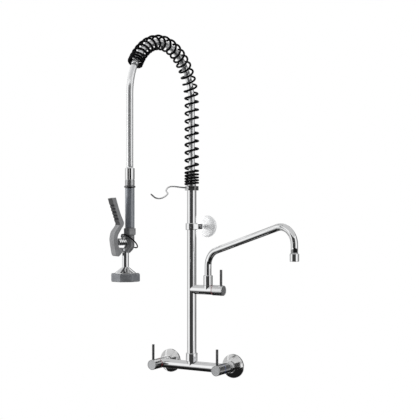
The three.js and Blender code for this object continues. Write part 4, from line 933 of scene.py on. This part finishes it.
def hanging_route(size):
    """Centreline of the free hose: the end of the arch, then straight down to the gun, in millimetres."""
    bend = [arch_point(size, size.spring_end * (1 - i / ROUTE_STEPS)) for i in range(ROUTE_STEPS + 1)]
    foot = Vector((0, bend[-1].y, size.gun_top))
    drop = [bend[-1].lerp(foot, i / ROUTE_STEPS) for i in range(1, ROUTE_STEPS + 1)]
    return bend + drop


class FAUCET_OT_hanging_hose(FaucetOperator, bpy.types.Operator):
    """Make the free stretch of hose from the spring's end to the spray gun"""

    bl_idname = "faucet.hanging_hose"
    bl_label = "Hanging hose"

    def execute(self, context):
        size = sizes_of(context)
        route = hanging_route(size)
        skin = swept(circle(size.hose_radius, HOSE_SIDES), evenly(route, HOSE_STEP))
        hose = new_object(context, "hanging_hose_sleeve", [skin])
        hose.data.materials.append(finish_material(context, "hose"))
        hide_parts("hose_bend", "hose_drop")
        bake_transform(hose)
        return {"FINISHED"}


SPRING_FOOT = 493.7
HOSE_FOOT = 517.7  # the hose inside the spring starts above its own tail in the riser
ARCH_STEPS = 60
RISE_STEP = 20  # distance between the hose's rings where it stands upright
WIRE_SIDES = 12
# Coil spacing along the spring: share of its length, millimetres per curl.
SPRING_PITCHES = ((0, 6.4), (0.045, 8.2), (0.056, 8.8), (0.068, 12.5), (0.085, 20.4), (0.1, 21.5),
                  (0.36, 21.5), (0.4, 20.3), (0.6, 20.3), (0.66, 22.5), (0.7, 27), (0.77, 26), (0.83, 22.5),
                  (0.88, 18), (0.9, 15.5), (0.95, 15.2), (0.962, 7.1), (1, 7.1))


class FAUCET_OT_spring(FaucetOperator, bpy.types.Operator):
    """Make the overhead spring and the hose that runs through it"""

    bl_idname = "faucet.spring"
    bl_label = "Spring"

    def execute(self, context):
        size = sizes_of(context)
        foot = Vector((0, -size.standoff, HOSE_FOOT))
        start = Vector((0, -size.standoff, size.arch_start))
        turns = [math.pi + (size.spring_end - math.pi) * i / ARCH_STEPS for i in range(1, ARCH_STEPS + 1)]
        line = evenly([foot, start], RISE_STEP) + [arch_point(size, turn) for turn in turns]
        add_piece(context, "hose_under_spring", [swept(circle(size.hose_radius, HOSE_SIDES), line)],
                  "hose", "frame", ["hose_in_spring"], rounding=0)
        wire, scales = round_ends(self.curls(size), size.spring_wire)
        add_piece(context, "hose_spring", [swept(circle(size.spring_wire, WIRE_SIDES), wire, scales=scales)],
                  "wire", "frame", ["overhead_spring"], rounding=0)
        return {"FINISHED"}

    def curls(self, size):
        """Centreline of the spring's wire."""
        straight = size.arch_start - SPRING_FOOT
        total = straight + (math.pi - size.spring_end) * size.arch_radius
        distance = size.spring_wire
        points = []
        while distance < total - 2 * size.spring_wire:
            turn = FULL_TURN * len(points) / size.curl_steps
            if distance < straight:
                centre = Vector((0, -size.standoff, SPRING_FOOT + distance))
                outward = -FORWARD
            else:
                left = math.pi - (distance - straight) / size.arch_radius
                centre = arch_point(size, left)
                outward = FORWARD * math.cos(left) + UP * math.sin(left)
            points.append(centre + size.spring_radius * (outward * math.cos(turn) - RIGHT * math.sin(turn)))
            distance += interpolated(SPRING_PITCHES, distance / total) / size.curl_steps
        return points


# Hook centreline: distance in front of the riser axis, sideways, height above its hole in the nut.
HOOK_KNOTS = (
    (14, 0, 0), (60, 0, 1.4), (104, 0, 2.6), (121, 0, -0.7), (130, 0, -8.7), (134, 6, -13.7),
    (140, 11.5, -17.2), (152, 12, -23.7), (166, 12, -28.2), (183, 12, -30.2), (200, 12, -28.2),
    (219, 12, -19.7),
)
HOOK_HEIGHT = 487.2
HOOK_RADIUS = 2
HOOK_SIDES = 16
HOOK_STEP = 2.5  # distance between the rings of its wire
TOP_NUT_CORNER = 33 / math.sqrt(3)  # 33 mm across flats
RISER_HOLE = 13.1  # bore of what is pushed over the riser
TUBE_BORE = 11.2  # bore of the riser itself


class FAUCET_OT_riser_top(FaucetOperator, bpy.types.Operator):
    """Make the hexagonal nut on the riser and the wire hook for the gun"""

    bl_idname = "faucet.riser_top"
    bl_label = "Riser top and hook"

    def execute(self, context):
        size = sizes_of(context)
        nut = [(RISER_HOLE, 481), (TOP_NUT_CORNER, 481), (TOP_NUT_CORNER, 493.4), (TUBE_BORE, 493.4),
               (TUBE_BORE, 486.3), (RISER_HOLE, 486.3), (RISER_HOLE, 481)]
        place = riser_place(size) @ Matrix.Rotation(FULL_TURN / 12, 4, "Z")
        add_piece(context, "hose_nut", [turned(nut, 6, place)], "chrome", "frame", ["riser_top_nut"],
                  rounding=1.0)
        knots = [(side, -size.standoff - front, HOOK_HEIGHT + rise) for front, side, rise in HOOK_KNOTS]
        wire, scales = round_ends(evenly(smooth_line(knots, 12), HOOK_STEP), HOOK_RADIUS)
        add_piece(context, "gun_hook", [swept(circle(HOOK_RADIUS, HOOK_SIDES), wire, scales=scales)],
                  "chrome", "frame", ["hook"], rounding=0)
        return {"FINISHED"}


# ---- Inlets, bar, riser -----------------------------------------------------------------------------

INLET_BORE = 7
VALVE_FACE = 67  # where an inlet's valve ends and its knob begins, out from the wall
BRANCH_FACE = 68  # the same on the side branch, from the riser's axis
COVER_SLOPE = ((31.5, 6.5), (28.6, 9.9), (25.1, 13.3), (21.2, 16.7), (17.6, 19.4), (16.6, 20))
BAR_SHORT = 6  # how far each end of the bar stays short of its inlet's axis
FINE_STEPS = 96  # sides of the widest and longest turned pieces


class FAUCET_OT_inlets(FaucetOperator, bpy.types.Operator):
    """Make the hot and cold inlets from the wall to their valves"""

    bl_idname = "faucet.inlets"
    bl_label = "Wall inlets"

    def execute(self, context):
        size = sizes_of(context)
        rim = size.escutcheon_radius
        cover = [(27.5, 0), (rim, 0), (rim, 5.5), *COVER_SLOPE, (13, 20), (13, 18.2), (16, 18.2),
                 (27.5, 6.5), (27.5, 0)]
        neck = [(INLET_BORE, -14), (10.4, -14), (10.4, 0), (12.7, 0), (12.7, 27), (13.4, 27), (13.4, 29.5),
                (INLET_BORE, 29.5), (INLET_BORE, -14)]
        barrel = [(INLET_BORE, 29.8), (13.4, 29.8), (13.4, 37.8), (14, 37.8), (14, VALVE_FACE),
                  (10, VALVE_FACE), (10, 46), (INLET_BORE, 46), (INLET_BORE, 29.8)]
        for side, label in ((-1, "hot"), (1, "cold")):
            place = inlet_place(size, side)
            add_piece(context, f"{label}_wall_cover", [turned(cover, size.round_steps, place)],
                      "satin_chrome", "frame", [f"{label}_escutcheon"], rounding=0.6)
            add_piece(context, f"{label}_inlet_neck", [turned(neck, size.round_steps, place)],
                      "chrome", "frame", [f"{label}_inlet_connector"])
            add_piece(context, f"{label}_union_sleeve",
                      [sleeve(15.5, 13, 24, 37.5, 0.8, size.round_steps, place)],
                      "chrome", "frame", [f"{label}_union_nut"])
            add_piece(context, f"{label}_valve_barrel", [turned(barrel, size.round_steps, place)],
                      "turned_chrome", "frame", [f"{label}_valve_body"])
        return {"FINISHED"}


class FAUCET_OT_bar_and_riser(FaucetOperator, bpy.types.Operator):
    """Make the mixing bar, the riser with its nut, and the side branch"""

    bl_idname = "faucet.bar_and_riser"
    bl_label = "Bar and riser"

    def execute(self, context):
        size = sizes_of(context)
        axis = riser_place(size)
        end = size.inlet_spacing / 2 - BAR_SHORT
        bar = rod(size.bar_radius, -end, end, steps=FINE_STEPS, place=along_x(axis))
        stub = rod(size.bar_radius, 0, 13, steps=FINE_STEPS, place=axis)
        collar = rod(14.4, 13, 22, steps=FINE_STEPS, place=axis)
        add_piece(context, "bridge_bar", [bar, stub, collar], "chrome", "frame", ["mixing_bar"])
        nut = [(14.7, 13.3), (16, 13.3), (16, 34), (15, 35), (RISER_HOLE, 35), (RISER_HOLE, 24.9),
               (14.7, 24.9), (14.7, 13.3)]
        add_piece(context, "riser_sleeve_nut", [turned(nut, FINE_STEPS, axis)], "chrome", "frame",
                  ["riser_nut"])
        radius = size.riser_radius
        tube = [(TUBE_BORE, 22.3), (14.4, 22.3), (14.4, 24.3), (radius, 24.3), (radius, size.riser_top),
                (TUBE_BORE, size.riser_top), (TUBE_BORE, 22.3)]
        add_piece(context, "riser_tube", [turned(tube, FINE_STEPS, axis)], "chrome", "frame", ["riser"])
        profile = [(0, 2), (radius, 2), (radius, BRANCH_FACE), (10, BRANCH_FACE), (10, 47), (0, 47)]
        arm = turned(profile, FINE_STEPS, branch_place(size))
        swivel = riser_place(size, size.swivel_offset, size.branch_height)
        stump = rod(radius, 0, 12.8, steps=FINE_STEPS, place=swivel)
        neck = sleeve(10.4, 6, 12.8, 23.8, place=swivel)
        add_piece(context, "side_branch", [arm, stump, neck], "chrome", "frame", ["spout_branch"])
        return {"FINISHED"}


# ---- Valve handles ----------------------------------------------------------------------------------

KNOB_END = 32.9  # just under the knob's front face
LEVER_HEIGHT = 24.5  # the lever pin's axis, out from the face of the valve
LEVER_ROOT = 7.7  # how deep the lever pin sits in the knob
FACE_SHARE = 0.9  # faces that look this much along the knob's axis are its matt end


class FAUCET_OT_handles(FaucetOperator, bpy.types.Operator):
    """Make the three knobs with their lever pins, set screws and indicator rings"""

    bl_idname = "faucet.handles"
    bl_label = "Valve handles"

    def execute(self, context):
        size = sizes_of(context)
        self.valve(context, size, "hot", raised(inlet_place(size, -1), VALVE_FACE))
        self.valve(context, size, "cold", raised(inlet_place(size, 1), VALVE_FACE))
        self.valve(context, size, "spout", raised(branch_place(size), BRANCH_FACE))
        return {"FINISHED"}

    def valve(self, context, size, label, place):
        """One knob with what belongs to it; local Z comes out of the valve's face."""
        radius = size.knob_radius
        add_piece(context, f"{label}_colour_ring", [sleeve(radius, 10.2, 0.3, 1.7, place=place)],
                  label, "frame", [f"{label}_indicator_ring"], rounding=0.25)
        knob = [(0, 27.3), (4.2, 27.3), (4.2, 7.5), (10.5, 7.5), (10.5, 2), (radius, 2), (radius, 32.2),
                (radius - 0.8, 33), (radius - 2.2, 33), (radius - 2.5, 32.7), (0, 32.7)]
        end = place @ Vector((0, 0, KNOB_END)) * MM
        outwards = place.to_3x3() @ UP

        def on_end(centre, normal):
            return normal.dot(outwards) > FACE_SHARE and (centre - end).dot(outwards) > -MM

        add_piece(context, f"{label}_turning_knob", [turned(knob, size.round_steps, place)],
                  "turned_chrome", f"{label}_handle", [f"{label}_knob"], rounding=0.25,
                  extras=[("steel", on_end)])
        pin_place = along_y(raised(place, LEVER_HEIGHT))
        lever = rod(3.5, radius - LEVER_ROOT, radius + size.lever_length, 0.6, 32, pin_place)
        add_piece(context, f"{label}_lever", [lever], "dark_steel", f"{label}_handle",
                  [f"{label}_lever_pin"], rounding=0.25)
        screw = turned([(0, -14.6), (1.1, -14.6), (1.6, -14.2), (1.6, -4), (0, -4)], 24, pin_place)
        add_piece(context, f"{label}_set_screw", [screw], "steel", f"{label}_handle",
                  [f"{label}_grub_screw"], rounding=0)


# ---- Spout and bracket ------------------------------------------------------------------------------

SPOUT_FOOT = 234.1
SPOUT_BEND_FOOT = 275.6  # height where the tube's first bend starts
SPOUT_DROP = 31.5  # straight end of the tube over the aerator
SPOUT_SIDES = 48


class FAUCET_OT_spout(FaucetOperator, bpy.types.Operator):
    """Make the swing spout with its nut and aerator"""

    bl_idname = "faucet.spout"
    bl_label = "Swing spout"

    def execute(self, context):
        size = sizes_of(context)
        swivel = riser_place(size, size.swivel_offset) @ Matrix.Rotation(size.spout_turn, 4, "Z")
        nut = [(10.7, 223.1), (12.6, 223.1), (12.6, 248.8), (11.8, 249.6), (9.5, 249.6), (9.5, 243.6),
               (10.7, 243.6), (10.7, 223.1)]
        add_piece(context, "spout_swivel_nut", [turned(nut, place=swivel)], "chrome", "spout",
                  ["spout_nut"])
        route = self.route(size)
        tube = swept(circle(size.spout_radius, SPOUT_SIDES), route, place=swivel)
        flare = sleeve(10.1, 8, SPOUT_FOOT, SPOUT_FOOT + 1.5, steps=SPOUT_SIDES, place=swivel)
        add_piece(context, "swing_spout", [tube, flare], "chrome", "spout", ["spout_tube"], rounding=0)
        tip = swivel @ Matrix.Translation(route[-1])
        shell = [(10.3, -9.5), (11.3, -9.5), (11.8, -9), (11.8, 9.2), (11, 10), (9.5, 10), (9.5, 0),
                 (10.3, -0.3), (10.3, -9.5)]
        add_piece(context, "aerator_shell", [turned(shell, place=tip)], "chrome", "spout",
                  ["aerator_housing"], rounding=0.3)
        return {"FINISHED"}

    def route(self, size):
        """Centreline of the tube: up, over and down."""
        bend = size.spout_bend
        slope = size.spout_slope
        foot = UP * SPOUT_FOOT
        start = Vector((bend, 0, SPOUT_BEND_FOOT))
        first = arc(start, bend, math.pi, QUARTER_TURN + slope, 18)
        run = (size.spout_reach - bend - bend * math.sin(slope) - first[-1].x) / math.cos(slope)
        crest = first[-1] + run * Vector((math.cos(slope), 0, math.sin(slope)))
        centre = crest + bend * Vector((math.sin(slope), 0, -math.cos(slope)))
        second = arc(centre, bend, QUARTER_TURN + slope, 0, 26)
        straight = [first[-1].lerp(second[0], i / 8) for i in range(1, 8)]
        leg = [foot.lerp(first[0], i / 3) for i in range(3)]
        return leg + first + straight + second + [second[-1] - UP * SPOUT_DROP]


STAY_SHIFT = 18.5  # how far to the right of the riser the bracket's rod runs


class FAUCET_OT_bracket(FaucetOperator, bpy.types.Operator):
    """Make the bracket that holds the riser to the wall"""

    bl_idname = "faucet.bracket"
    bl_label = "Wall bracket"

    def execute(self, context):
        size = sizes_of(context)
        centre = riser_place(size, 0, size.bracket_height)
        ring = sleeve(17, RISER_HOLE, -9.25, 9.25, 1.0, place=centre)
        lug = block((3, -9, -7.25), (26.2, 15, 7.25), centre)
        add_piece(context, "riser_clamp", [ring, lug], "chrome", "frame", ["bracket_clamp"], rounding=0.8)
        screw = turned([(0, 22.6), (2, 22.6), (2, 26.5), (3.6, 26.5), (3.6, 29), (3.1, 29.5), (1.7, 29.5),
                        (1.7, 28), (0, 28)], 32, along_x(centre))
        add_piece(context, "riser_clamp_screw", [screw], "steel", "frame", ["clamp_screw"], rounding=0.2)
        stay = riser_place(size, STAY_SHIFT, size.bracket_height)
        add_piece(context, "stay_rod", [rod(3.8, -5.1, 48.7, 0.4, 32, along_y(stay))],
                  "chrome", "frame", ["bracket_rod"], rounding=0.2)
        rim = size.flange_radius
        dish = [(0, 0), (rim - 0.6, 0), (rim, 0.6), (rim, 4.4), (rim - 0.8, 6.6), (rim - 2.4, 8.6),
                (rim - 4.2, 9.8), (rim - 6, 10.3), (18, 10.7), (9, 11), (7.2, 11), (7.2, 16.2), (6.4, 17),
                (4.1, 17), (4.1, 5), (0, 5)]
        wall = wall_place(STAY_SHIFT, size.bracket_height)
        add_piece(context, "stay_wall_flange", [turned(dish, FINE_STEPS, wall)], "pale_plate", "frame",
                  ["wall_flange"], rounding=0.3)
        return {"FINISHED"}


# ---- Spray gun --------------------------------------------------------------------------------------

GUN_BORE = 5  # radius of the waterway through the grip
NUT_NECK = 502.5  # under this height the swivel nut is matt
COLLAR_CORNER = 28 / math.sqrt(3)  # 28 mm across flats
BODY_TOP = 365.2
BODY_RADIUS = 11.5
BEND_TOP = 340  # where the casting starts to move aside
CASTING_FOOT = 322.3  # where the casting ends and the bright outlet starts
CASTING_SHIFT = 10.4  # how far its foot has moved towards the trigger
CASTING_FOOT_RADIUS = 9.7
OUTLET_SHIFT = 11.7  # from the grip's axis to the axis of the outlet and the spray head
PLUNGER_HEIGHT = 349.0
PIVOT = Vector((22.5, 0, 329.4))
STUD_HEIGHT = 362
RING_SEAT = Vector((20.1, 0, 367.2))  # where the hold ring lies on its stud
RING_LENGTH = 25.5  # half the length of the ring's oval
RING_WIDTH = 17  # half its width
RING_WIRE = 1.6
KNURL_STEPS = 16


def node_reach(size, node):
    """How far a CAD node on the gun reaches from the grip's axis towards the trigger, in millimetres."""
    towards = gun_place(size).to_3x3() @ RIGHT
    axis = gun_place(size).translation
    points = (vert.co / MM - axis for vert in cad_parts[node].data.vertices)
    return max(point.dot(towards) for point in points)


class FAUCET_OT_gun_handle(FaucetOperator, bpy.types.Operator):
    """Make the gun's swivel nut, grip and hexagonal collar"""

    bl_idname = "faucet.gun_handle"
    bl_label = "Gun handle"

    def execute(self, context):
        size = sizes_of(context)
        place = gun_place(size)
        top = size.gun_top
        radius = size.grip_radius
        nut = [(8.3, 488), (11.85, 488), (11.85, 502), (11.05, 502), (11.05, 503.6), (11.85, 503.6),
               (11.85, top - 0.8), (11.05, top), (GUN_BORE, top), (GUN_BORE, 495.3), (8.3, 495.3),
               (8.3, 488)]
        add_piece(context, "hose_end_nut", [turned(nut, place=place)], "chrome", "hanging_hose",
                  ["gun_swivel_nut"], rounding=0.3,
                  extras=[("steel", lambda centre, normal: centre.z < NUT_NECK * MM)])
        ring = [(GUN_BORE, 482.5), (12.6, 482.5), (13.5, 483.1), (14, 484.2), (14, 486), (13.5, 487.1),
                (12.6, 487.7), (8, 487.7), (8, 494.7), (GUN_BORE, 494.7), (GUN_BORE, 482.5)]
        add_piece(context, "grip_top_ring", [turned(ring, place=place)], "dark_steel", "gun",
                  ["grip_ring"], rounding=0.3)
        grip = [(GUN_BORE, 382.8), (radius - 0.7, 382.8), (radius, 383.5), (radius, 481.5),
                (radius - 0.7, 482.2), (GUN_BORE, 482.2), (GUN_BORE, 382.8)]
        add_piece(context, "insulated_grip", [turned(grip, place=place)], "grip", "gun", ["grip"])
        collar = sleeve(COLLAR_CORNER, GUN_BORE, 365.5, 382.5, steps=6, place=place)
        add_piece(context, "grip_foot_collar", [collar], "alloy", "gun", ["gun_collar"], rounding=1.2)
        return {"FINISHED"}


class FAUCET_OT_gun_valve(FaucetOperator, bpy.types.Operator):
    """Make the gun's valve casting, bonnet, plunger and wire hold ring"""

    bl_idname = "faucet.gun_valve"
    bl_label = "Gun valve"

    def execute(self, context):
        size = sizes_of(context)
        place = gun_place(size)
        outlet_top = (CASTING_FOOT - 0.1) * MM
        add_piece(context, "gun_valve_casting", self.casting(place), "alloy", "gun", ["spray_valve_body"],
                  rounding=0.5, extras=[("chrome", lambda centre, normal: centre.z < outlet_top)])
        stem = along_x(raised(place, PLUNGER_HEIGHT))
        line = [UP * (11.8 + 20.4 * i / KNURL_STEPS) for i in range(KNURL_STEPS + 1)]
        bands = [0.9 if i % 4 == 0 else 1.0 for i in range(KNURL_STEPS + 1)]
        knurl = swept(ribbed(9.2, 0.5, 20), line, scales=bands, place=stem)
        inner = sleeve(6.4, 3.8, 5.5, 33, steps=32, place=stem)
        add_piece(context, "plunger_bonnet", [knurl, inner], "chrome", "gun", ["bonnet"], rounding=0)
        add_piece(context, "plunger_stem", [rod(3.5, 0.6, node_reach(size, "plunger"), 0.6, 32, stem)],
                  "steel", "valve_plunger", ["plunger"], rounding=0)
        add_piece(context, "wire_hold_ring", [self.ring(size, place)], "wire", "ring_latch",
                  ["hold_ring"], rounding=0)
        return {"FINISHED"}

    def casting(self, place):
        """Upper barrel that moves aside to the outlet, the pivot's boss and the stud."""
        line = [UP * BODY_TOP, UP * (BODY_TOP - 11), UP * (BODY_TOP - 22)]
        scales = [1.0, 1.0, 1.0]
        for share in (i / 10 for i in range(11)):
            eased = share * share * (3 - 2 * share)
            line.append(RIGHT * CASTING_SHIFT * eased + UP * (BEND_TOP - (BEND_TOP - CASTING_FOOT) * share))
            scales.append(1 - eased * (1 - CASTING_FOOT_RADIUS / BODY_RADIUS))
        barrel = swept(circle(BODY_RADIUS, 48), line, scales=scales, place=place)
        outlet = rod(8.4, 286.6, CASTING_FOOT, steps=48,
                     place=place @ Matrix.Translation((OUTLET_SHIFT, 0, 0)))
        boss = rod(5, -4, 4, steps=32, place=along_y(place @ Matrix.Translation(PIVOT)))
        arm = block((2, -4, PIVOT.z - 4), (PIVOT.x, 4, PIVOT.z + 4), place)
        stud = rod(3.2, 0, 23.5, 0.3, 24, along_x(raised(place, STUD_HEIGHT)))
        lip = rod(3.2, 22.4, 23.5, 0.3, 24, along_x(raised(place, STUD_HEIGHT + 0.6)))
        return [barrel, outlet, boss, arm, stud, lip]

    def ring(self, size, place):
        """An oval of wire that hangs on the stud."""
        back = -RIGHT * math.cos(size.ring_tilt) - UP * math.sin(size.ring_tilt)
        across = Matrix.Rotation(-size.ring_roll, 3, back) @ Vector((0, 1, 0))
        centre = RING_SEAT + back * RING_LENGTH
        line = [centre - back * RING_LENGTH * x + across * RING_WIDTH * y for x, y in circle(1.0, 72)]
        return swept(circle(RING_WIRE, 14), line, closed=True, place=place)


# Edges of the trigger seen from its side, from the tip down: distance in front of the pin, height above it.
TRIGGER_FRONT = (
    (31, 126.5), (27.5, 114), (22.8, 99), (17.6, 84), (13.2, 70.5), (10.6, 64.5), (12.6, 58.5), (17.4, 52),
    (22.8, 44.5), (25.4, 36), (26.8, 26), (25.8, 15.9), (23.6, 3), (20.6, -11), (17.6, -15), (13, -15.8),
    (8.8, -12), (3, -4.8),
)
TRIGGER_BACK = (
    (20.9, 128.4), (17.1, 116), (12.5, 101), (7.3, 86), (1.7, 73.5), (-0.7, 67.5), (0.1, 61), (4.6, 53.8),
    (9.8, 45.5), (14.4, 37.5), (16.4, 29), (15.8, 19), (13.6, 10.2), (10.6, 4.2), (7.5, 1.6), (4, 1.5),
)
TRIGGER_GROOVES = tuple(109 - 8.2 * i for i in range(5))  # heights above the pin
GROOVE_DEPTH = 1.1
GROOVE_REACH = 2.5  # half the height of a groove
GROOVE_WAY = Vector((-0.944, 0, 0.332))  # straight into the finger pad
PAD_FOOT = 60  # height above the pin where the finger pad starts
FORK_REACH = 10.0  # in front of the pin: closer than this, and under the top, the blade is a fork
FORK_TOP = 20
FORK_OVERLAP = 1
FORK_GAP = 8.6  # room between the fork's cheeks for the casting's boss


class FAUCET_OT_trigger(FaucetOperator, bpy.types.Operator):
    """Make the trigger and the pin that it turns on"""

    bl_idname = "faucet.trigger"
    bl_label = "Trigger"

    def execute(self, context):
        size = sizes_of(context)
        place = gun_place(size) @ Matrix.Translation(PIVOT)
        front = [self.grooved(point) for point in self.edge(TRIGGER_FRONT)]
        back = self.edge(TRIGGER_BACK)
        width = size.trigger_width
        outline = [(point.x, point.z) for point in front + back[::-1]]
        blade = [(x, z) for x, z in outline if x > FORK_REACH or z > FORK_TOP]
        fork = [(x, z) for x, z in outline if x <= FORK_REACH + FORK_OVERLAP and z < FORK_TOP]
        shapes = [slab(blade, width, place)]
        cheek = (width - FORK_GAP) / 2
        for side in (-1, 1):
            beside = place @ Matrix.Translation((0, side * (width - cheek) / 2, 0))
            shapes.append(slab(fork, cheek, beside))
            shapes.append(rod(5, -cheek / 2, cheek / 2, steps=32, place=along_y(beside)))
        inverse = place.inverted()
        ahead = place.to_3x3() @ RIGHT

        # painted shade: the finger pad's front faces get the much darker alloy, and its grooves the
        # near-black one
        def on_pad(centre, normal):
            return normal.dot(ahead) > 0.45 and (inverse @ (centre / MM)).z > PAD_FOOT + 1

        def in_groove(centre, normal):
            height = (inverse @ (centre / MM)).z
            nearest = min(abs(height - groove) for groove in TRIGGER_GROOVES)
            return normal.dot(ahead) > 0.1 and nearest < 0.8 * GROOVE_REACH

        add_piece(context, "squeeze_trigger", shapes, "alloy", "trigger", ["trigger_lever"], rounding=0.9,
                  extras=[("ribs", on_pad), ("recess", in_groove)])
        end = width / 2 + 0.3
        pin = turned([(0, -end - 1.5), (2.6, -end - 1.5), (3.2, -end - 0.9), (3.2, -end), (2, -end), (2, end),
                      (3.2, end), (3.2, end + 0.9), (2.6, end + 1.5), (0, end + 1.5)], 32, along_y(place))
        add_piece(context, "trigger_pivot_pin", [pin], "steel", "gun", ["trigger_pin"], rounding=0.2)
        return {"FINISHED"}

    def edge(self, knots):
        """An edge of the trigger as close points."""
        return evenly(smooth_line([(front, 0, rise) for front, rise in knots], 16), 0.6)

    def grooved(self, point):
        """The front edge with its finger grooves pressed in."""
        nearest = min(abs(point.z - height) for height in TRIGGER_GROOVES)
        depth = GROOVE_DEPTH * max(0.0, 1 - (nearest / GROOVE_REACH) ** 6)
        return point + GROOVE_WAY * depth if point.z > PAD_FOOT else point


class FAUCET_OT_spray_head(FaucetOperator, bpy.types.Operator):
    """Make the eight-sided spray cone and its rubber bumper"""

    bl_idname = "faucet.spray_head"
    bl_label = "Spray head"

    def execute(self, context):
        size = sizes_of(context)
        axis = gun_place(size) @ Matrix.Translation((OUTLET_SHIFT, 0, 0))
        cone = [(21.5, 255.5), (23.5, 255.5), (23.5, 270.8), (27.5, 270.8), (27.5, 272.3), (9.1, 286.2),
                (GUN_BORE, 286.2), (GUN_BORE, 296.2), (3.5, 296.2), (3.5, 284.2), (21.5, 268.3),
                (21.5, 255.5)]
        add_piece(context, "spray_head_cone", [turned(cone, 8, axis)], "chrome", "gun", ["spray_cone"],
                  rounding=0.5)
        bumper = sleeve(size.bumper_radius, 23.9, 251, 270.5, 1.5, 8, axis)
        add_piece(context, "spray_bumper", [bumper], "rubber", "gun", ["bumper"], rounding=0.9)
        return {"FINISHED"}


# ---- CAD parts that stay ----------------------------------------------------------------------------

CARRIED_OVER = {
    "brass": ("hot_headwork", "cold_headwork", "spout_headwork", "hot_spindle", "cold_spindle",
              "spout_spindle"),
    "nylon": ("spout_bushing", "aerator_insert"),
    "steel": ("hose_tail", "spray_face"),
}


class FAUCET_OT_carried_over(FaucetOperator, bpy.types.Operator):
    """Give the inner CAD parts that stay their finishes"""

    bl_idname = "faucet.carried_over"
    bl_label = "Inner parts"

    def execute(self, context):
        for finish, nodes in CARRIED_OVER.items():
            for node in nodes:
                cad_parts[node].material_slots[0].material = finish_material(context, finish)
        return {"FINISHED"}


# ---- Panel and registration -------------------------------------------------------------------------

OPERATORS = (
    FAUCET_OT_stage, FAUCET_OT_hanging_hose, FAUCET_OT_spring, FAUCET_OT_riser_top, FAUCET_OT_inlets,
    FAUCET_OT_bar_and_riser, FAUCET_OT_handles, FAUCET_OT_spout, FAUCET_OT_bracket, FAUCET_OT_gun_handle,
    FAUCET_OT_gun_valve, FAUCET_OT_trigger, FAUCET_OT_spray_head, FAUCET_OT_carried_over,
)
GROUPS = {"faucet_sizes": FaucetSizes, "faucet_shape": FaucetShape, "faucet_colours": FaucetColours}


class FAUCET_PT_panel(bpy.types.Panel):
    """Faucet settings and pieces"""

    bl_label = "Commercial wall faucet"
    bl_idname = "FAUCET_PT_panel"
    bl_space_type = "VIEW_3D"
    bl_region_type = "UI"
    bl_category = "Faucet"

    def draw(self, context):
        for key, group in GROUPS.items():
            box = self.layout.box()
            for name in group.__annotations__:
                box.prop(getattr(context.scene, key), name)
        for operator in OPERATORS:
            self.layout.operator(operator.bl_idname)


def register():
    for item in (*GROUPS.values(), *OPERATORS, FAUCET_PT_panel):
        bpy.utils.register_class(item)
    for key, group in GROUPS.items():
        setattr(bpy.types.Scene, key, PointerProperty(type=group))


def unregister():
    for key in GROUPS:
        delattr(bpy.types.Scene, key)
    for item in (FAUCET_PT_panel, *reversed(OPERATORS), *reversed(GROUPS.values())):
        bpy.utils.unregister_class(item)


def main():
    register()
    for operator in OPERATORS:
        getattr(bpy.ops.faucet, operator.bl_idname.split(".")[1])()


if __name__ == "__main__":
    main()
